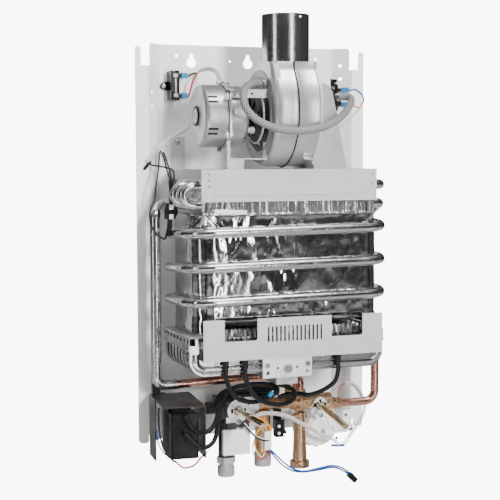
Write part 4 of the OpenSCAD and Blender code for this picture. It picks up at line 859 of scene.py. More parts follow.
def chamber_outline(x0, x1, y0, y1, r):
    """Points round the chamber's plan, with the same count on every level."""
    points = []
    corners = ((x1 - r, y1 - r, 0), (x0 + r, y1 - r, 90), (x0 + r, y0 + r, 180), (x1 - r, y0 + r, 270))
    for (cx, cy, start), count in zip(corners, (110, 44, 110, 44)):
        for i in range(13):
            a = math.radians(start + 90 * i / 12)
            points.append(Vector((cx + r * math.cos(a), cy + r * math.sin(a), 0)))
        following = corners[(start // 90 + 1) % 4]
        a = math.radians(following[2])
        end = Vector((following[0] + r * math.cos(a), following[1] + r * math.sin(a), 0))
        begin = points[-1]
        for i in range(1, count):
            points.append(begin.lerp(end, i / count))
    return points


def cloud_at(p, wide, high, dx=0.0, dy=0.0, dz=0.0):
    """How strong a soft cloud of that size is at a point, from 0 up."""
    return abs(noise.noise(Vector((p.x / wide + dx, p.y / wide + dy, p.z / high + dz))))


def ridge(distance, width):
    """A soft crease that fades to both sides."""
    return math.exp(-(distance / width) ** 2)


def crumple(p):
    """How far the sheet is pushed in at a point: creases upright, between the turns and at the foot."""
    upright = ridge(p.x + 80, 20) + 0.7 * ridge(p.x + 6, 15) + 0.5 * ridge(p.x - 112, 14)
    level = 0.8 * ridge((p.z + 14) % coil_rise - 36, 8) + 0.8 * ridge(p.z + 84, 16)
    fold = min(upright + level, 1.3) * (0.6 + 0.9 * cloud_at(p, 25, 25, dz=9))
    large = cloud_at(p, 42, 52, dz=3)
    middle = cloud_at(p, 15, 24, dx=7)
    small = cloud_at(p, 6, 8, dy=2)
    return 1.4 * large + (0.4 + 0.7 * fold) * middle + (0.1 + 0.5 * fold) * small


def chamber_shell():
    """The chamber's outer and inner skin, open at the top, the bottom and the burner's window."""
    window_x, window_half, window_top = 9.3, 98, -86
    shape = bmesh.new()
    levels = [chamber_low + (chamber_shoulder - chamber_low) * i / 58 for i in range(59)]
    levels += [chamber_shoulder + (chamber_top - chamber_shoulder) * i / 7 for i in range(1, 8)]
    straight = chamber_outline(-114.7, 133.3, chamber_y0, chamber_y1, 24)
    upper = chamber_outline(-105.7, 124.3, chamber_y0, chamber_y1, 2)
    count = len(straight)
    rings = []
    for z in levels:
        share = max(0.0, (z - chamber_shoulder) / (chamber_top - chamber_shoulder))
        ring = []
        for i in range(count):
            p = straight[i].lerp(upper[i], share)
            ahead = straight[(i + 1) % count] - straight[i - 1]
            inward = Vector((-ahead.y, ahead.x, 0)).normalized()
            p.z = z
            edge = min(1.0, (z - chamber_low) / 6, (chamber_top - z) / 5)
            p += inward * crumple(p) * (0.15 + 0.85 * max(0.0, edge))
            ring.append(shape.verts.new(p * MM))
        rings.append(ring)
    for low, high in zip(rings, rings[1:]):
        for i in range(count):
            j = (i + 1) % count
            middle = (low[i].co + high[j].co) / (2 * MM)
            in_window = abs(middle.x - window_x) < window_half and middle.z < window_top
            if in_window and middle.y < chamber_y0 + 8:
                continue
            shape.faces.new((low[i], low[j], high[j], high[i]))
    loose = [v for v in shape.verts if not v.link_faces]
    bmesh.ops.delete(shape, geom=loose, context="VERTS")
    data = bpy.data.meshes.new("chamber_shell")
    shape.to_mesh(data)
    shape.free()
    data.shade_smooth()
    thing = bpy.data.objects.new("chamber_shell", data)
    wall = thing.modifiers.new("wall", "SOLIDIFY")
    wall.thickness = 0.0007
    wall.offset = -1
    return hang(thing, tinned_foil, replaces=["combustion_chamber"])


def chamber_lining():
    """Thin dark sheets of painted shade inside the chamber: back, left, right and front."""
    lining = Shape()
    for low, high in (
        ((-104, -25.6, -98), (123, -25, 26)),
        ((-108.6, -120, -98), (-108, -30, 22)),
        ((126.4, -120, -98), (127, -30, 22)),
        ((-98, -128.4, -82), (117, -127.8, 24)),
    ):
        lining.block(low, high, 0.25)
    lining.piece("chamber_lining", shade_painted_sheet, "dark_steel")


# Pressure hose and the black leads of the electrodes.
def pressure_hose():
    """The braided hose, from the scroll's nipple round the front to the pressure switch."""
    line = curve(
        [(-14.3, -112, 205), (-23, -112, 205), (-29, -115, 205), (-40, -124, 203), (-52, -138, 197),
         (-58, -148, 186), (-56, -155, 171), (-42, -158, 157), (-16, -160, 147), (10, -160, 145),
         (40, -158, 149), (62, -150, 157), (80, -137, 167), (94, -122, 177), (102, -110, 184),
         (104, -102, 189), at_switch(19, -21.1), at_switch(14, -20.5), at_switch(6.6, -20.5)], 7)
    hose = Shape()
    hose.sweep(line, 4.7, 20)
    hose.piece("pressure_hose_skin", hose_skin, "grey_rubber", replaces=["pressure_hose"])


def ignition_leads():
    """Three leads from the boots: two go round to the igniter, the right one behind the valves."""
    y, z = boot_y, boot_z
    left = [(-83, y, z - 0.3), (-82.6, y, z - 12), (-74, -147, z - 30), (-60, -140, z - 42),
            (-38, -134, z - 47), (-16, -130, z - 42), (-4, -122, z - 35), (-14, -114, z - 30),
            (-40, -112, z - 29), (-64, -114, z - 33), (-80, -120, z - 48), (-88, -126, z - 70),
            (-100, -130, z - 81), (-114, -133, z - 80), (-124, -133, z - 69), (-127.8, -130, z - 62.2),
            (-127.8, -126.3, z - 62.2)]
    middle = [(-58, y, z - 0.3), (-57.6, y, z - 12), (-48, -148, z - 32), (-30, -142, z - 46),
              (-6, -138, z - 52), (14, -130, z - 48), (18, -120, z - 38), (4, -108, z - 33),
              (-30, -105, z - 31), (-60, -107, z - 34), (-76, -113, z - 48), (-84, -124, z - 72),
              (-92, -132, z - 92), (-106, -136, z - 99), (-120, -135, z - 91), (-127.8, -130, z - 83.2),
              (-127.8, -126.3, z - 83.2)]
    right = [(66, y, z - 0.3), (66.4, y, z - 10), (64, -146, z - 26), (50, -138, z - 38), (36, -128, z - 44),
             (27, -116, z - 44), (16, -106, z - 46), (4, -102.5, z - 50)]
    strands("high_tension_leads", black_matt, "black_rubber", [left, middle, right], 2.9, 16, 7,
            replaces=["ignition_leads"])
    outer = [(-72, -76, -208), (-66, -80, -190), (-48, -86, -182), (-20, -88, -180.5), (5, -88, -187),
             (9, -86, -193), (-6, -84, -196), (-33, -84, -193), (-56, -82, -196), (-68, -76, -207)]
    inner = [(-70, -74, -204), (-60, -78, -194), (-42, -82, -188), (-16, -83, -186.5), (1, -82, -190.5),
             (-10, -80, -192), (-36, -79, -189.5), (-60, -76, -199), (-70, -72, -208)]
    strands("lead_loops", black_matt, "black_rubber", [outer, inner], 2.6, 12)


# Repeated small parts are placed by node trees and then kept as plain meshes.
def tree_with(name, inputs):
    """A geometry tree with named inputs; returns the tree and its two ends."""
    tree = bpy.data.node_groups.new(name, "GeometryNodeTree")
    tree.interface.new_socket(name="Geometry", in_out="INPUT", socket_type="NodeSocketGeometry")
    for label, kind in inputs:
        tree.interface.new_socket(name=label, in_out="INPUT", socket_type="NodeSocket" + kind)
    tree.interface.new_socket(name="Geometry", in_out="OUTPUT", socket_type="NodeSocketGeometry")
    return tree, add(tree, "NodeGroupInput"), add(tree, "NodeGroupOutput")


def painted(tree, shape, finish, out):
    """Ends a tree: the instances become one mesh in one finish."""
    real = add(tree, "GeometryNodeRealizeInstances")
    coat = add(tree, "GeometryNodeSetMaterial")
    tree.links.new(shape, real.inputs[0])
    tree.links.new(real.outputs[0], coat.inputs["Geometry"])
    tree.links.new(finish, coat.inputs["Material"])
    tree.links.new(coat.outputs[0], out.inputs[0])
    return real


def make_heads_tree():
    """Puts one small part on every point, turned to the point's aim, with its size and a chance spin."""
    tree, here, out = tree_with(
        "seated_heads", (("Part", "Object"), ("Spin", "Float"), ("Seed", "Int"), ("Finish", "Material")))
    join = tree.links.new
    points = add(tree, "GeometryNodeMeshToPoints")
    join(here.outputs["Geometry"], points.inputs["Mesh"])
    aim = add(tree, "GeometryNodeInputNamedAttribute", data_type="FLOAT_VECTOR")
    aim.inputs["Name"].default_value = "aim"
    size = add(tree, "GeometryNodeInputNamedAttribute", data_type="FLOAT")
    size.inputs["Name"].default_value = "size"
    turn = add(tree, "FunctionNodeAlignRotationToVector", axis="Z")
    join(aim.outputs["Attribute"], turn.inputs["Vector"])
    chance = add(tree, "FunctionNodeRandomValue", data_type="FLOAT")
    join(math_node(tree, "MULTIPLY", here.outputs["Spin"], -1.0), chance.inputs[2])
    join(here.outputs["Spin"], chance.inputs[3])
    join(here.outputs["Seed"], chance.inputs["Seed"])
    spin = add(tree, "FunctionNodeAxisAngleToRotation")
    spin.inputs["Axis"].default_value = (0, 0, 1)
    join(chance.outputs[1], spin.inputs["Angle"])
    turned = add(tree, "FunctionNodeRotateRotation", rotation_space="LOCAL")
    join(turn.outputs[0], turned.inputs[0])
    join(spin.outputs[0], turned.inputs[1])
    part = add(tree, "GeometryNodeObjectInfo")
    join(here.outputs["Part"], part.inputs["Object"])
    seat = add(tree, "GeometryNodeInstanceOnPoints")
    join(points.outputs[0], seat.inputs["Points"])
    join(part.outputs["Geometry"], seat.inputs["Instance"])
    join(turned.outputs[0], seat.inputs["Rotation"])
    join(size.outputs["Attribute"], seat.inputs["Scale"])
    painted(tree, seat.outputs[0], here.outputs["Finish"], out)
    return tree


def make_folds_tree():
    """A row of folded fin edges: thin crumpled tabs, each tilted a little by chance."""
    tree, here, out = tree_with(
        "folded_fin_edges",
        (("Count", "Int"), ("Start", "Vector"), ("Step", "Vector"), ("Size", "Vector"), ("Tilt", "Vector"),
         ("Crumple", "Float"), ("Seed", "Int"), ("Finish", "Material")))
    join = tree.links.new
    row = add(tree, "GeometryNodeMeshLine")
    join(here.outputs["Count"], row.inputs["Count"])
    join(here.outputs["Start"], row.inputs["Start Location"])
    join(here.outputs["Step"], row.inputs["Offset"])
    tab = add(tree, "GeometryNodeMeshCube")
    join(here.outputs["Size"], tab.inputs["Size"])
    tab.inputs["Vertices X"].default_value = 3
    tab.inputs["Vertices Z"].default_value = 7
    low = add(tree, "ShaderNodeVectorMath", operation="SCALE")
    join(here.outputs["Tilt"], low.inputs[0])
    low.inputs["Scale"].default_value = -1.0
    chance = add(tree, "FunctionNodeRandomValue", data_type="FLOAT_VECTOR")
    join(low.outputs[0], chance.inputs[0])
    join(here.outputs["Tilt"], chance.inputs[1])
    join(here.outputs["Seed"], chance.inputs["Seed"])
    turn = add(tree, "FunctionNodeEulerToRotation")
    join(chance.outputs[0], turn.inputs[0])
    seat = add(tree, "GeometryNodeInstanceOnPoints")
    join(row.outputs[0], seat.inputs["Points"])
    join(tab.outputs["Mesh"], seat.inputs["Instance"])
    join(turn.outputs[0], seat.inputs["Rotation"])
    real = painted(tree, seat.outputs[0], here.outputs["Finish"], out)
    coat = out.inputs[0].links[0].from_node
    cloud = add(tree, "ShaderNodeTexNoise")
    cloud.inputs["Scale"].default_value = 260.0
    centred = add(tree, "ShaderNodeVectorMath", operation="SUBTRACT")
    join(cloud.outputs["Color"], centred.inputs[0])
    centred.inputs[1].default_value = (0.5, 0.5, 0.5)
    moved = add(tree, "ShaderNodeVectorMath", operation="SCALE")
    join(centred.outputs[0], moved.inputs[0])
    join(here.outputs["Crumple"], moved.inputs["Scale"])
    shift = add(tree, "GeometryNodeSetPosition")
    join(real.outputs[0], shift.inputs["Geometry"])
    join(moved.outputs[0], shift.inputs["Offset"])
    last = add(tree, "GeometryNodeRealizeInstances")
    join(shift.outputs[0], last.inputs[0])
    join(last.outputs[0], coat.inputs["Geometry"])
    return tree


HEADS = make_heads_tree()
FOLDS = make_folds_tree()


def grown(name, carrier, tree, values, finish, sharp=35):
    """Runs a tree on a carrier and keeps the result as a plain piece of the heater."""
    step = carrier.modifiers.new("grow", "NODES")
    step.node_group = tree
    for socket in tree.interface.items_tree:
        if socket.item_type == "SOCKET" and socket.in_out == "INPUT" and socket.name in values:
            step[socket.identifier] = values[socket.name]
    bpy.context.view_layer.update()
    mesh = bpy.data.meshes.new_from_object(carrier.evaluated_get(bpy.context.evaluated_depsgraph_get()))
    bpy.data.objects.remove(carrier)
    mesh.name = name
    mesh.shade_smooth()
    mesh.set_sharp_from_angle(angle=math.radians(sharp))
    return hang(bpy.data.objects.new(name, mesh), finish)


def loose_part(name, shape):
    """A small part near the origin, a millimetre in radius, for the tree to repeat."""
    bmesh.ops.recalc_face_normals(shape.mesh, faces=shape.mesh.faces)
    shape.mesh.transform(Matrix.Scale(MM, 4))
    data = bpy.data.meshes.new(name)
    shape.mesh.to_mesh(data)
    shape.mesh.free()
    part = bpy.data.objects.new(name, data)
    bpy.context.scene.collection.objects.link(part)
    return part


def seat_heads(name, part, spots, finish, seed=4):
    """Seats one part on many spots: each has a place, a size and, unless it looks to the front, an aim."""
    spots = [(*spot, OUTWARDS)[:3] for spot in spots]
    aims = [number for place, size, aim in spots for number in aim]
    cloud = bpy.data.meshes.new(name + "_points")
    cloud.from_pydata([Vector(place) * MM for place, size, aim in spots], [], [])
    cloud.attributes.new("aim", "FLOAT_VECTOR", "POINT").data.foreach_set("vector", aims)
    sizes = [float(size) for place, size, aim in spots]
    cloud.attributes.new("size", "FLOAT", "POINT").data.foreach_set("value", sizes)
    carrier = bpy.data.objects.new(name + "_points", cloud)
    bpy.context.scene.collection.objects.link(carrier)
    values = {"Part": part, "Spin": 3.1, "Seed": seed, "Finish": finish}
    return grown(name, carrier, HEADS, values, finish)


def cross_head():
    """A screw head with a cross cut, between four raised quarters."""
    head = Shape()
    profile = [(0, 1), (0.25, 1), (0.45, 0.86), (0.55, 0.62), (0.2, 0.6), (0.18, 0)]
    head.lathe((0, 0, 0), (0, 0, 1), profile, 12)
    rim = [(0.13, 0.13), (0.58, 0.13), (0.5, 0.32), (0.32, 0.5), (0.13, 0.58)]
    for quarter in range(4):
        turn = Matrix.Rotation(math.radians(90 * quarter), 3, "Z")
        lower = [head.mesh.verts.new(turn @ Vector((x, y, 0.19))) for x, y in rim]
        upper = [head.mesh.verts.new(turn @ Vector((x, y, 0.54))) for x, y in rim]
        head.mesh.faces.new(upper)
        head.mesh.faces.new(list(reversed(lower)))
        for k in range(5):
            head.mesh.faces.new((lower[k], lower[(k + 1) % 5], upper[(k + 1) % 5], upper[k]))
    return loose_part("cross_head", head)


def rivet_head():
    """A low domed head."""
    dome = Shape()
    dome.lathe((0, 0, 0), (0, 0, 1), [(0, 1), (0.2, 0.94), (0.4, 0.7), (0.5, 0.35), (0.52, 0)], 12)
    return loose_part("rivet_head", dome)


def screws_and_rivets():
    """Every screw head and rivet head, each kind on its own spots."""

    def alike(places, size):
        """Spots of one size."""
        return [(place, size) for place in places]

    cross, dome = cross_head(), rivet_head()
    pan_face, flange_y, rivet_r = -0.9, -21.9, 1.1
    screws = [((-100.2, -5.9, 132.9), 3.6), ((-117, -4.0, 206), 3.4), ((106, -1.9, 190.5), 2.6),
              ((-49.9, -106.1, -193.9), 3.3), ((-50.6, -106.1, -221.6), 3.3), ((109.8, -78.6, -230.5), 2.2),
              ((49.5, -84, -227), 2.6), ((65.7, -97.5, -223.6), 3.2)]
    seat_heads("cross_screws", cross, screws, screw_steel)
    rivets = [((-126, pan_face, 122), 2.2), ((-129, pan_face, 119), 1.4), ((96, -3, -60), 2.0)]
    for z in (236, 214, 176, 150, 96, -40, -110, -180, -232):
        rivets += [((x, flange_y, z), rivet_r) for x in (-151.5, 151.5)]
    for degrees in range(0, 360, 20):
        if not 50 < degrees < 130:
            rivets.append((about_fan(46.0, 44, degrees), 1.3, ALONG_X))
    seat_heads("sheet_rivets", dome, rivets, enamel, seed=9)
    hood_spots = ((-98, 92), (-98, 84.5), (-98, 77), (120.6, 91), (120.6, 79))
    hood_ends = [(x, hood_face, z) for x, z in hood_spots]
    seat_heads("hood_rivets", dome, alike(hood_ends, 1.3), screw_steel, seed=3)
    switch_ends = [(6.4, -100, z) for z in (-233.8, -243.0)]
    seat_heads("switch_rivets", dome, alike(switch_ends, 2.1), white_moulding, seed=2)
    dark_ends = [(88.1, -83.2, -247.4), (98.5, -74, -262), (118, -77.1, -250.4)]
    seat_heads("black_screws", cross, alike(dark_ends, 1.9), black_gloss, seed=6)
    bpy.data.objects.remove(cross)
    bpy.data.objects.remove(dome)


# Fins: the front edges are folded over and crumpled, shining below the hood; their white glints and black
# shade are painted.
fin_row_length = 228.0


def fin_edges():
    """Rows of crumpled tabs at the fins and at the burner, and the flattened strip at the left."""
    for name, count, start, size, tilt, rough, seed in (
        ("fin_folds", 116, (-104.2, -134.7, 50.4), (1.5, 0.5, 15.6), (0.05, 0.02, 0.8), 0.0005, 5),
        ("fin_solder", 34, (-102.2, -135.1, 43.4), (6.9, 0.7, 2.2), (0.12, 0.02, 0.08), 0.0006, 8),
        ("burner_folds", 66, (-100, -131.5, -105.5), (3.2, 0.6, 12), (0.3, 0.3, 1.0), 0.0009, 11),
    ):
        carrier = bpy.data.objects.new(name + "_row", bpy.data.meshes.new(name + "_row"))
        bpy.context.scene.collection.objects.link(carrier)
        step = Vector((fin_row_length / count * MM, 0, 0))
        values = {"Count": count, "Start": Vector(start) * MM, "Step": step, "Size": Vector(size) * MM,
                  "Tilt": Vector(tilt), "Crumple": rough, "Seed": seed, "Finish": glint_painted_folds}
        grown(name, carrier, FOLDS, values, glint_painted_folds, sharp=60)
    strip = Shape()
    lean = Matrix.Rotation(math.radians(7), 4, "X")
    for i in range(5):
        x = -91 + 8.4 * i
        strip.block((x, -135.9, 42.7), (x + 8.3, -135.2, 49.4 - 0.35 * i), 0.3, lean)
    strip.piece("folded_fin_strip", tin_strip, "tinned_copper")


# Wires and sleeves round the fan.
def capacitor_wires():
    """Two short leads at the capacitor and the clear sleeve that takes them to the motor."""
    nodes = ["capacitor_leads"]
    strands("capacitor_red", red_wire, "wire_red",
            [[(-88.7, -15.6, 193), (-86.7, -15.7, 193.2), (-84, -18, 205), (-81, -19, 215),
              (-76.5, -21, 222)]], 1.1, replaces=nodes)
    strands("capacitor_black", black_wire, "black_rubber",
            [[(-88.7, -15.6, 219), (-86.7, -15.7, 219.4), (-84, -17, 221), (-80, -19, 222),
              (-76, -21, 222.6)]], 1.1, replaces=nodes)
    strands("capacitor_sleeve", clear_sleeve, "clear_plastic",
            [[(-77.5, -22, 223), (-72, -26, 226), (-65, -36, 227), (-62, -52, 223), (-61.8, -66, 214),
              (-62, -76, 206.6)]], 3.1, 16, replaces=nodes)
    strands("inside_sleeve", red_wire, "wire_red",
            [[(-76.5, -21.6, 222.4), (-72, -26, 225), (-65, -36, 226), (-62.4, -52, 222), (-62, -66, 213),
              (-62, -76, 206)]], 0.8)
    strands("inside_sleeve_black", black_wire, "black_rubber",
            [[(-76, -22.6, 223.6), (-72, -27, 227), (-64.6, -37, 228), (-61.4, -53, 224), (-61.4, -67, 215),
              (-61, -76, 207)]], 0.8)


def motor_wires():
    """The motor's wires in their clear sleeve, down to the left edge of the pan."""
    strands("motor_sleeve", clear_sleeve, "clear_plastic",
            [[(-62, -42, 178), (-70, -34, 168), (-78.9, -29, 160.5), (-90, -25, 152), (-104, -22, 142.8),
              (-120, -20, 132.5), (-131.8, -19.5, 124.5), (-141, -22.5, 114.5), (-146.5, -24.8, 107)]],
            3.0, 16)
    strands("motor_wires", red_wire, "wire_red",
            [[(-64, -43, 177), (-78.9, -29.5, 160), (-104, -22.4, 142.3), (-131.8, -20, 124),
              (-146, -24.8, 107.5)]], 0.7)


def overheat_wires():
    """Thin black wires and boots of the overheat switch, with its disc and tabs."""
    long_loop = [(-128.3, -27, 121.4), (-131.8, -32, 117.4), (-133.9, -38, 108.4), (-136, -42, 97.7),
                 (-139.3, -47, 85.3), (-142.4, -52, 73), (-145.2, -56, 59.8), (-153, -64.5, 46.6),
                 (-154, -66, 36.1), (-151.6, -66, 25.4), (-142.9, -67, 14.5), (-137.3, -66, 10.7),
                 (-134.1, -65, 10.6), (-131.8, -63, 16.3), (-129.6, -62, 25.1), (-128.2, -62, 34)]
    left = [(-127.4, -27, 119.2), (-125.3, -32, 110.2), (-125.3, -42, 99.4), (-124.3, -48, 90.5),
            (-123.9, -53, 81.7), (-125.4, -59, 72.9), (-125.8, -62, 67), (-125.6, -62.5, 62)]
    right = [(-125, -27, 119.6), (-123.4, -32, 112), (-122.6, -42, 101.2), (-121.9, -48, 92.3),
             (-122, -53, 83.4), (-123.9, -58, 72.8), (-124.4, -61, 67), (-124.2, -62, 62)]
    crossing = [(-144.1, -24, 104.9), (-143.2, -26, 106.6), (-141, -30, 103), (-133.4, -36, 101.7),
                (-126.3, -44, 99.9), (-119.1, -48, 97.2), (-117.4, -50, 90.5), (-120.2, -54, 81.6),
                (-122.4, -58, 72.8), (-123, -61, 62)]
    strands("sensor_wires", black_wire, "wire_blue", [long_loop, left, right, crossing], 1.1)
    strands("sensor_boot", black_matt, "black_rubber",
            [[(-124.2, -58, 84), (-124.6, -62, 74), (-125, -65, 66), (-125.6, -68, 58)],
             [(-128.4, -68, 36), (-128.6, -67, 30), (-129.2, -66, 22), (-131, -66, 14)]], 3.2, 14)
    strands("sensor_sleeve", black_matt, "black_rubber",
            [[(-149.6, -22.6, 98), (-147.3, -24.2, 101), (-141.5, -24, 108)]], 1.9, 12)
    disc = [(0, 8.4), (1.6, 8.4), (2.0, 7.9), (2.1, 0)]
    turned_piece("overheat_disc", (-127, -69, 45), (-0.25, -1, 0), disc, 32, black_matt, "black_plastic")
    tabs = Shape()
    for z in (50.5, 38.5):
        tabs.block((-130.6, -72.6, z - 3.2), (-124.6, -71, z + 3.2), 0.4)
        tabs.block((-129.6, -73.4, z - 1.4), (-125.6, -72.4, z + 1.4), 0.2)
    tabs.piece("overheat_tabs", bright_plate, "nickel_brass")


def wire_clip():
    """The clear clip that holds the motor's sleeve to the pan."""
    clip = Shape()
    clip.block((-131, -21.5, 118), (-122, -14, 126), 1.4, Matrix.Rotation(math.radians(35), 4, "Y"))
    clip.sweep(curve([(-134, -17, 125), (-130, -25, 124), (-124, -26, 119), (-121, -17, 114)], 6), 1.2, 8)
    clip.piece("wire_clip", clear_sleeve, "clear_plastic")


# Pressure switch: a black diaphragm box on its bracket, with its two wires.
def pressure_switch():
    """The round box with its bolts, two lugs and the nipple for the hose."""
    box = Shape()
    aim = Vector(at_switch(1, 0)) - Vector(at_switch(0, 0))
    spin = Matrix.Rotation(-switch_swing, 4, "Z")
    box.lathe(at_switch(0, 0), aim,
              [(0, 24.4), (0.6, 25), (2.4, 25), (3, 24.4), (3.2, 22.4), (5.8, 21.6), (6.2, 20.2),
               (10.2, 17.2), (11, 12.6), (14, 11.8), (14.2, 0)], 48)
    bolt_r, bolt_ring = 1.3, 18.6
    for degrees in range(0, 360, 30):
        a = math.radians(degrees)
        foot = at_switch(3.2, bolt_ring * math.cos(a), switch_z + bolt_ring * math.sin(a))
        box.lathe(foot, aim, [(0, bolt_r), (2.4, bolt_r), (2.8, bolt_r * 0.7), (2.9, 0)], 8)
    for z in (-24.5, 19.5):
        box.slab(at_switch(5, -4.5, 192.5 + z), (4, 2.5, 2), 0.6, spin)
    box.lathe(at_switch(2, -20.5), aim, [(0, 3.4), (1.4, 3.4), (1.6, 2.5), (11, 2.5), (12, 2.1), (12, 0)], 16)
    box.piece("pressure_switch_box", black_gloss, "black_plastic", replaces=["pressure_switch"])
    stay = Shape()
    stay.slab(at_switch(-0.65, 11), (0.85, 19, 8), 0.3, spin)
    stay.block((99.2, -42.5, 182.5), (100.8, -0.9, 198.5), 0.3)
    stay.block((99.2, -2.4, 182.5), (115, -0.9, 198.5), 0.3)
    for z in (-9.5, 9.5):
        stay.slab(at_switch(13.5, 0, switch_z + z), (1.6, 0.4, 3), 0.1, spin)
    stay.piece("pressure_switch_bracket", bracket_steel, "steel", replaces=["pressure_switch"])


def pressure_switch_wires():
    """The blue and the orange wire, and the sleeve that they leave in."""
    strands("switch_blue_wire", blue_wire, "wire_blue",
            [[at_switch(24, 0, 200), at_switch(27, 0.2, 200.2), (122, -81.6, 200.4), (131, -80, 194),
              (134.6, -78, 187.4), (132, -77, 182)]], 1.05)
    strands("switch_orange_wire", orange_wire, "wire_yellow",
            [[at_switch(24, 0, 181), at_switch(27, 0.2, 180.8), (122, -80.6, 178.4), (128, -79.5, 177.6),
              (132, -77, 181)]], 1.05)
    strands("switch_feed", white_wire, "clear_plastic",
            [[(132, -77, 182), (130, -72, 175), (122, -60, 163), (112, -44, 150), (100, -26, 136),
              (90, -12, 124), (84, -4, 116)]], 1.0)


# Motor: rolled seam, boss ring, vents and the flat tie in front.
def fan_motor():
    """What shows on the motor's two shells."""
    shells = Shape()
    shells.lathe(about_fan(motor_joint, 0), ALONG_X,
                 [(0, 38.6), (0.1, 39.6), (0.8, 40), (1.5, 39.6), (1.7, 38.6), (0, 38.6)], 72)
    shells.lathe(about_fan(-97.4, 0), ALONG_X,
                 [(1.9, 20), (0.9, 19.4), (0.5, 18), (0.9, 16.6), (1.9, 16), (1.9, 20)], 56)
    shells.piece("motor_seam", motor_steel, "aluminium")
    tie = Shape()
    tie.block((-66.4, -124.2, 138), (-63.6, -122.9, 191), 0.3)
    for z in (141, 187.5):
        tie.lathe((-72, -120.4, z), ALONG_X, [(0, 1.7), (10, 1.7), (10.4, 1.4), (10.4, 0)], 12)
        tie.lathe((-64.6, -120.4, z), ALONG_X, [(0, 3.1), (2.4, 3.1), (2.6, 2.8), (2.6, 0)], 6)
        tie.block((-70.6, -124.6, z - 4.2), (-69.4, -116.4, z + 4.2), 0.3)
    tie.piece("motor_tie", bright_plate, "galvanised")
    openings = Shape()
    openings.lathe(about_fan(-67.4, 0), ALONG_X, band(2.1, 39, 39.75), 72)
    # Black bars over the four vent slots stand for the dark inside of the motor: painted shade.
    for degrees in (145, 155, 205, 215):
        upright = Matrix.Rotation(math.radians(degrees), 4, "X")
        openings.slab(about_fan(-86, 39.55, degrees), (6.3, 0.3, 1.3), 0.1, upright)
    openings.piece("motor_openings", black_matt, "black_rubber")
    clamp = Shape()
    clamp.lathe((-62, -75.4, 206.4), (0.2, -0.35, -1), band(3.4, 3.3, 4.1), 20)
    clamp.block((-60, -78, 204.6), (-52, -76.4, 207.2), 0.4)
    clamp.piece("sleeve_clamp", screw_steel, "steel")
    # A black sleeve inside the shell that makes the vent slots show dark: painted shade.
    turned_piece("motor_lining", about_fan(-92.5, 0), ALONG_X, band(25.5, 30, 37.9), 64, black_matt,
                 "black_rubber")
    boss = [(0.2, 12.6), (0, 12.2), (0, 9.6), (0.2, 9.2), (1.4, 9.2), (1.4, 12.6), (0.2, 12.6)]
    turned_piece("motor_boss_ring", about_fan(-98.8, 0), ALONG_X, boss, 40, black_matt, "black_rubber")


def suction_eye():
    """The scroll's left face: its pressed ring in the darker sheet and a black disc in the eye, both painted
    shade; the inlet ring and a stub of the motor.
    """
    eye = about_fan(eye_face, 0)
    pressed = [(0.9, 59), (0.2, 58), (0.2, 50), (-0.9, 48.6), (-0.9, 45.4), (0.9, 44), (0.9, 59)]
    turned_piece("scroll_face", eye, ALONG_X, pressed, 72, shade_painted_sheet, "galvanised")
    shade = [(0.9, 44.4), (0.1, 44), (0.1, 9), (0.9, 9), (0.9, 44.4)]
    turned_piece("scroll_shade", eye, ALONG_X, shade, 72, black_matt, "black_rubber")
    ring = Shape()
    ring.lathe(about_fan(-20, 0), ALONG_X,
               [(0, 33), (0, 34), (0.8, 34.6), (1.8, 34.8), (1.8, 34.2), (0.8, 33), (0, 33)], 72)
    for degrees in (20, 140, 260):
        ring.sweep([about_fan(-19, 33.8, degrees), about_fan(-14.4, 36, degrees)], 0.8, 8)
    ring.piece("inlet_ring", bright_plate, "galvanised")
    stub = [(0, 3.8), (5, 3.8), (5.4, 4.8), (9.6, 4.6), (10.2, 4), (10.2, 0)]
    turned_piece("motor_stub", (-38.4, -103, 146.5), ALONG_X, stub, 24, bracket_steel, "galvanised")


def scroll_clasp():
    """The clasp at the scroll's lower right, with three holes drawn as black discs: painted shade."""
    clasp = Shape()
    lean = Matrix.Rotation(math.radians(8), 4, "Y")
    clasp.block((30.5, -125.2, 109.5), (44.5, -124, 118), 0.4, lean)
    clasp.block((31.5, -124.6, 115.6), (44, -121.4, 117.4), 0.4, lean)
    knob = [(0, 3.1), (5, 3.1), (5.6, 2.6), (6.6, 2.2), (7, 0)]
    clasp.lathe((45.5, -117.6, 107), (-0.1, -1, -0.2), knob, 20)
    clasp.piece("scroll_clasp", bracket_steel, "galvanised")
    holes = Shape()
    for x, z in ((33.2, 114.8), (37.6, 114.3), (41.8, 113.8)):
        holes.lathe((x, -125.1, z), OUTWARDS, [(0, 1.2), (0.25, 1.1), (0.3, 0)], 16)
    holes.piece("clasp_holes", black_matt, "black_rubber")


# Sheet details: the hood's long bead, the scroll's skin and seam and the pan's two pressed lines.
def hood_bead():
    """The hood's double bead, turned up at both ends."""
    bead = Shape()
    left, right, z = -91.5, 112, 63.6
    for gap in (0.0, 4.6):
        bead.sweep([(left + gap / 2, hood_face, z + gap), (right - gap / 2, hood_face, z + gap)], 0.55, 6)
    for x in (left, right):
        bead.sweep([(x, hood_face, z), (x, hood_face, z + 6.4)], 0.5, 6)
    bead.piece("hood_bead", hood_sheet, "white_enamel")


scroll_r, scroll_growth, neck_z = 63, 2.52, 231.3


def scroll_path(x, out, first=-168):
    """The scroll's outline at one place across it, a little outside the pressed shells."""
    line = [Vector((x, -69 + out, neck_z))] if first < 0 else []
    for degrees in range(first, 141, 4):
        a = math.radians(degrees)
        r = scroll_r + out + scroll_growth * (max(degrees, 0) / 90) ** 3.4
        line.append(Vector((x, fan_y - r * math.sin(a), fan_z - r * math.cos(a))))
    return line + [Vector((x, -129 - out, neck_z))]


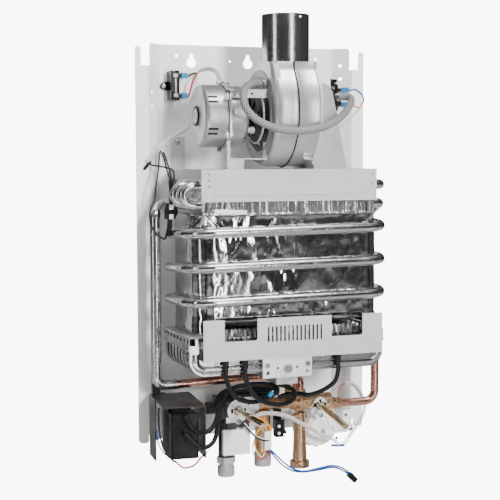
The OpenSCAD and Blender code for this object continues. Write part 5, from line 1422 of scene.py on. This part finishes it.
def scroll_skin():
    """The scroll's smooth skin, drawn across as places and heights above the shells, with seam and rim."""
    section = (
        (-14.1, -8.4), (-13.5, -6), (-12.1, -3.3), (-9.6, -1.2), (-7, -0.2), (-4.6, 0.35), (8, 0.4),
        (13.8, 0.45), (14.6, 0.8), (15, 1.7), (16, 1.9), (17, 1.7), (17.4, 0.8), (18.2, 0.45), (30, 0.4),
        (42.4, 0.45), (43.4, 0.8), (43.8, 1.8), (45, 2.1), (46.2, 1.8), (46.6, 0), (46, -0.6), (20, -0.6),
        (-5, -0.6), (-11, -3.6), (-13.6, -9))
    skin = Shape()
    lines = [scroll_path(x, out) for x, out in section]
    rings = [[skin.mesh.verts.new(line[k]) for line in lines] for k in range(len(lines[0]))]
    for below, above in zip(rings, rings[1:]):
        for k in range(len(section)):
            skin.mesh.faces.new((below[k - 1], below[k], above[k], above[k - 1]))
    skin.mesh.faces.new(rings[0])
    skin.mesh.faces.new(rings[-1])
    skin.piece("scroll_skin", scroll_sheet, "galvanised", sharp=50)
    seam = Shape()
    seam.sweep(scroll_path(15.2, 1.5, 0), 0.95, 8)
    seam.piece("scroll_seam", black_matt, "galvanised")
    # The rim bead in a whiter plate than the scroll's own sheet, for its bright line: painted highlight.
    rim = Shape()
    rim.sweep(scroll_path(45.2, 1.7, 0), 1.3, 8)
    rim.piece("scroll_rim", bright_plate, "galvanised")


def pan_pressings():
    """Two upright pressed lines and two pressed rings at the top of the pan."""
    line = Shape()
    for x in (-62, 126):
        line.block((x - 1.1, -1.35, 118), (x + 1.1, -0.7, 252), 0.3)
    ring = [(0, 6.4), (0.5, 5.8), (0.6, 5), (0.2, 4.4), (0.2, 2.6), (0.5, 2.2), (0.5, 0)]
    for x, z in ((-116.9, 246.3), (124.4, 245.5)):
        line.lathe((x, -0.8, z), OUTWARDS, ring, 24)
    line.piece("pan_pressings", enamel, "white_enamel")


# Threads and the crushed collar on the copper.
def pipe_threads():
    """The ridges of the two half-inch tails, and the collar where the copper enters the brass."""
    thread_r, pitch, steps = 10.5, 1.85, 24
    threads = Shape()
    for x, top, low in ((-63, -281.4, -293.2), (-13, -268.6, -284.4)):
        turns = []
        for k in range(int((top - low) / pitch * steps)):
            a = k * math.pi / 12
            turns.append((x + thread_r * math.cos(a), valve_y + thread_r * math.sin(a),
                          top - a / (2 * math.pi) * pitch))
        threads.sweep(turns, 0.72, 6)
    threads.lathe((-13, valve_y, -267.2), (0, 0, -1), band(17.6, 10.3, 10.52), 40)
    threads.piece("pipe_threads", cast_iron_grey, "nickel_brass")
    collar = [(0, 5.6), (0.8, 8.6), (5, 8.8), (6, 7.2), (12, 6.9), (13.4, 6.1), (14, 5.4)]
    turned_piece("copper_collar", (82.6, valve_y, valve_z - 6), ALONG_X, collar, 24, copper, "copper")


# Water valve: its bright sleeve, and the diaphragm housing with ribs and bosses.
def diaphragm_ribs():
    """Three round ribs, twelve that run outwards and six screw bosses."""
    x0, z0, face = 68, valve_z - 36, -82.6
    ribs = Shape()
    for r in (24.5, 15.5, 8.5):
        ribs.lathe((x0, face, z0), OUTWARDS,
                   [(0, r + 0.7), (0.8, r + 0.5), (0.8, r - 0.5), (0, r - 0.7), (0, r + 0.7)], 48)
    for k in range(12):
        a = 2 * math.pi * k / 12
        centre = (x0 + 16 * math.cos(a), face - 0.3, z0 + 16 * math.sin(a))
        ribs.slab(centre, (8, 0.4, 0.5), 0.2, Matrix.Rotation(-a, 4, "Y"))
    for k in range(6):
        a = math.radians(30 + 60 * k)
        foot = (x0 + 27 * math.cos(a), -71.6, z0 + 27 * math.sin(a))
        ribs.lathe(foot, OUTWARDS, [(0, 3.6), (5, 3.4), (5.4, 2.6), (5.4, 0)], 16)
    ribs.piece("diaphragm_ribs", white_moulding, "white_plastic")


def water_valve():
    """The sleeve, the ribbed housing and the clear tubes round it, with the wires inside them."""
    sleeve = [(0, 8), (0, 8.7), (1, 9), (16, 9), (17, 8.6), (17, 8), (0, 8)]
    turned_piece("valve_sleeve", (-37.4, valve_y, valve_z), ALONG_X, sleeve, 40, bright_plate, "aluminium")
    diaphragm_ribs()
    strands("clear_tubes", clear_sleeve, "clear_plastic",
            [[(127.1, -40, -196.3), (135.6, -46, -197.3), (138.6, -60, -205.3), (140.4, -70, -213.9),
              (138.5, -76, -222.8), (133.8, -80, -232.6), (125.2, -84, -242.8), (116.8, -86, -251.1),
              (110.1, -88, -258.6), (105, -90, -264), (99.2, -92, -266.5)],
             [(-35.5, -113, -219.9), (-30.9, -114, -215.3), (-21.9, -114, -211.9), (-9.7, -115, -212.4),
              (3.4, -115, -215), (17, -114, -220.4), (32.2, -111, -229.2), (44.2, -108, -235.8),
              (58.7, -105, -245), (70.1, -102, -251.6), (84.1, -98, -258.2), (92.5, -94, -265.2)]], 2.8, 16)
    strands("tube_wires", red_wire, "wire_red",
            [[(107.7, -60, -211.1), (109.9, -54, -206.9), (113.8, -48, -201.9), (116.8, -44, -198.1),
              (121.1, -42, -196.7), (127.1, -40, -196.3), (135.6, -46, -197.3), (138.6, -60, -205.3),
              (140.4, -70, -213.9), (138.5, -76, -222.8), (133.8, -80, -232.6), (125.2, -84, -242.8),
              (110.1, -88, -258.6)],
             [(-40, -113, -224), (-30.9, -113.6, -215.3), (-21.9, -113.6, -211.9), (3.4, -114.6, -215),
              (32.2, -110.8, -229.2), (58.7, -104.6, -245), (84.1, -97.6, -258.2), (88, -95, -262)]], 0.75)
    strands("tube_ends", blue_wire, "wire_blue",
            [[(83, -92.5, -266.5), (92, -93, -267.4), (101.7, -92, -267.9)]], 1.7)


# Wire loops at the gas valve's connector and at the igniter.
def harness():
    """The loops of coloured wire from the connector round to the gas valve."""
    strands("harness_yellow", yellow_wire, "wire_yellow",
            [[(-14.8, -105.3, -261.4), (-15.8, -105.6, -266), (-21, -107, -269.9), (-26, -107, -264),
              (-29, -106.4, -256.8), (-29.6, -106, -248.7), (-27.2, -106, -240.8), (-22.3, -105, -234.2),
              (-16, -105.3, -230), (-11.8, -105.3, -236.8)],
             [(-30.6, -104, -221.1), (-25.3, -105, -219.6), (-18.9, -106, -221.4), (-11.3, -106.4, -229.7),
              (-7.6, -106.4, -237)]], 0.8, replaces=["wire_harness"])
    strands("harness_red", red_wire, "wire_red",
            [[(-27.8, -104, -244), (-31.7, -106, -254), (-31.9, -107, -262.8), (-28.2, -108.4, -269.2),
              (-19.5, -108.6, -272.4), (-12.4, -107.4, -268.3), (-11, -106, -261.4)],
             [(-30.6, -103, -222.6), (-25.3, -104, -221.4), (-18.9, -105, -223.4), (-12.4, -106, -231),
              (-9.4, -106, -237)]], 0.8)
    strands("harness_orange", orange_wire, "wire_yellow",
            [[(-30.6, -105, -220), (-25.3, -106, -218.2), (-17.9, -107, -220), (-10, -107.4, -228.7),
              (-6.2, -107, -237)]], 0.8)
    strands("harness_white", white_wire, "clear_plastic",
            [[(-45.8, -113, -222.5), (-36.4, -113, -233.9), (-28.8, -111, -241.5), (-17.7, -109.6, -246.8),
              (-10.6, -108.2, -247.6)]], 0.8)
    strands("harness_black", black_wire, "black_rubber",
            [[(-46.8, -113, -223.6), (-37.4, -113, -235), (-29.2, -111, -242.8), (-17.9, -109.8, -248.2),
              (-10.6, -108.2, -249)],
             [(-156.3, -110, -196), (-157.6, -112, -203.7), (-157.8, -114, -217.6), (-156.3, -116, -232.6),
              (-153.1, -118, -245.9), (-146.9, -121, -255.6), (-140.4, -123, -262.6)]], 1.25)


def igniter_wires():
    """Two wires at the igniter's side and the clear plug below it."""
    strands("igniter_blue", blue_wire, "wire_blue",
            [[(-156.6, -100, -226.4), (-157.6, -104, -233.2), (-157, -110, -242), (-153.4, -115, -250.1),
              (-147.4, -119, -256.2), (-141, -123, -262)]], 0.85)
    strands("igniter_red", red_wire, "wire_red",
            [[(-140.7, -123, -260.7), (-134.8, -124, -266.4), (-128.9, -125, -270.3), (-119, -125, -269.3),
              (-111.7, -124, -265.1), (-106.9, -122, -260.4), (-101, -120, -257)]], 1.2)
    strands("igniter_plug", clear_sleeve, "clear_plastic",
            [[(-101, -120, -257), (-98.6, -119, -255.2), (-97.6, -118.4, -252.8)]], 2.3, 12)


# Small marks and trims.
def gas_valve_trims():
    """Rings on the solenoid box, black slots and shaft rings on the two knob plates as painted shade, and a
    blue cap on a lead.
    """
    rings = Shape()
    for x, z, r in ((-55, -254, 3.4), (-43, -254, 3.4), (-49, -243, 3.0)):
        ring = [(0, r - 0.5), (0.35, r - 0.3), (0.35, r + 0.1), (0, r + 0.3), (0, r - 0.5)]
        rings.lathe((x, -107.9, z), OUTWARDS, ring, 24)
    rings.piece("solenoid_rings", white_moulding, "white_plastic")
    slots = Shape()
    for x in (-59.6, -42.4, 53.4, 68.6):
        slots.block((x - 1.5, -106.7, knob_z - 2.8), (x + 1.5, -105.6, knob_z + 2.8), 0.2)
    for x in (gas_x, water_x):
        slots.lathe((x, -105.8, knob_z), OUTWARDS, [(0, 4.1), (0, 6), (0.7, 5.8), (0.7, 4.1), (0, 4.1)], 32)
    slots.piece("plate_slots", black_matt, "black_rubber")
    cap = [(0, 1.4), (0.4, 2.6), (4.6, 3.2), (7.6, 3.2), (8.2, 2.4), (8.4, 0)]
    turned_piece("blue_cap", (-20.5, -132.5, -187.5), (6, 3, 4.6), cap, 16, terminal_blue, "blue_plastic")


def capacitor_trims():
    """The capacitor's two tabs with their link, and the rim of its well."""
    tabs = Shape()
    for z in (193, 219):
        tabs.block((-108.6, -20.9, z - 2.2), (-102.6, -19.9, z + 2.2), 0.2)
    tabs.block((-106.6, -20.5, 196), (-104.6, -19.9, 216), 0.3)
    tabs.piece("capacitor_tabs", bracket_steel, "steel")
    rim = Shape()
    front, back = -21.4, -20
    for x0, z0, x1, z1 in (
        (-112, 187, -101, 189.4),
        (-112, 222.6, -101, 225),
        (-112, 187, -110.6, 225),
        (-102.4, 187, -101, 225),
    ):
        rim.block((x0, front, z0), (x1, back, z1), 0.3)
    rim.piece("capacitor_rim", black_gloss, "black_plastic")


# The pieces are made and hung on the heater.
water_pipes()
chamber_shell()
chamber_lining()
pressure_hose()
ignition_leads()
screws_and_rivets()
fin_edges()
capacitor_wires()
motor_wires()
overheat_wires()
wire_clip()
pressure_switch()
pressure_switch_wires()
fan_motor()
suction_eye()
scroll_clasp()
hood_bead()
scroll_skin()
pan_pressings()
pipe_threads()
water_valve()
harness()
igniter_wires()
gas_valve_trims()
capacitor_trims()


# Floor, backdrop light and soft boxes.
def pale_floor():
    """A wide glowing floor that the camera sees and the metal doesn't."""
    half, z = 9, -0.36
    data = bpy.data.meshes.new("floor")
    corners = [(-half, -half, z), (half, -half, z), (half, half, z), (-half, half, z)]
    data.from_pydata(corners, [], [(0, 1, 2, 3)])
    floor = bpy.data.objects.new("floor", data)
    bpy.context.scene.collection.objects.link(floor)
    paint = Finish("pale_floor")
    paint.patches((0.3, 0.3, 0.3), (0.29, 0.29, 0.29), 2, 0.5, 0.8, 0.9)
    paint.shader.inputs["Emission Color"].default_value = (1, 1, 1, 1)
    paint.shader.inputs["Emission Strength"].default_value = 8.8
    data.materials.append(paint.done())
    floor.visible_diffuse = False
    floor.visible_glossy = False
    floor.visible_transmission = False
    floor.visible_shadow = False


def studio_world():
    """White to the camera; the metal sees dark and light bands, broken by cloud."""
    world = bpy.data.worlds.new("studio")
    bpy.context.scene.world = world
    world.use_nodes = True
    sky = world.node_tree
    sky.nodes.clear()
    direction = add(sky, "ShaderNodeTexCoord").outputs["Generated"]
    split = add(sky, "ShaderNodeSeparateXYZ")
    sky.links.new(direction, split.inputs[0])
    ramp = add(sky, "ShaderNodeValToRGB")
    sky.links.new(ranged(sky, split.outputs["Z"], -1, 1, 0, 1), ramp.inputs[0])
    ramp.color_ramp.elements[0].color = (0.5, 0.5, 0.5, 1)
    ramp.color_ramp.elements[1].color = (0.35, 0.35, 0.35, 1)
    for spot, shade in ((0.36, 0.4), (0.45, 0.05), (0.5, 0.025), (0.62, 0.025), (0.74, 0.12)):
        element = ramp.color_ramp.elements.new(spot)
        element.color = (shade, shade, shade, 1)
    rays = add(sky, "ShaderNodeLightPath")
    seen = math_node(sky, "MULTIPLY_ADD", rays.outputs["Is Camera Ray"], 8.0, 1.0)
    bands = noise_node(sky, direction, 3.2, 3, 0.5)
    uneven = add(sky, "ShaderNodeVectorMath", operation="SCALE")
    sky.links.new(ramp.outputs[0], uneven.inputs[0])
    sky.links.new(ranged(sky, bands.outputs["Fac"], 0.4, 0.62, 0.3, 2.6), uneven.inputs["Scale"])
    backdrop = blended(sky, rays.outputs["Is Camera Ray"], uneven.outputs[0], (1.0, 1.0, 1.0))
    background = add(sky, "ShaderNodeBackground")
    sky.links.new(backdrop, background.inputs["Color"])
    sky.links.new(seen, background.inputs["Strength"])
    out = add(sky, "ShaderNodeOutputWorld")
    sky.links.new(background.outputs[0], out.inputs[0])


def soft_box(name, where, wide, tall, watts, mirrored=True, towards=(0, 0, 0)):
    """A studio soft box aimed at a point; a flagged one isn't mirrored in the metal."""
    data = bpy.data.lights.new(name, "AREA")
    data.shape = "RECTANGLE"
    data.size = wide
    data.size_y = tall
    data.energy = watts
    box = bpy.data.objects.new(name, data)
    bpy.context.scene.collection.objects.link(box)
    box.location = where
    box.rotation_euler = (Vector(towards) - Vector(where)).to_track_quat("-Z", "Y").to_euler()
    box.visible_glossy = mirrored


pale_floor()
studio_world()
soft_box("front_box", (0.5, -2.5, 0.7), 0.4, 0.5, 105, False)
soft_box("left_box", (-1.9, -1.5, 0.8), 0.9, 1.8, 16, False)
soft_box("right_box", (1.9, -1.1, 0.6), 0.6, 1.8, 30, False)
soft_box("top_box", (0.2, -1.1, 2.1), 1.5, 0.8, 44, towards=(0, 0, 0.1))
soft_box("front_strip", (0.42, -2.4, 0.2), 0.16, 1.8, 13)
soft_box("left_strip", (-2.3, -0.75, 0.2), 0.14, 1.7, 7)
soft_box("low_strip", (-0.7, -2.0, -1.0), 1.5, 0.12, 7)
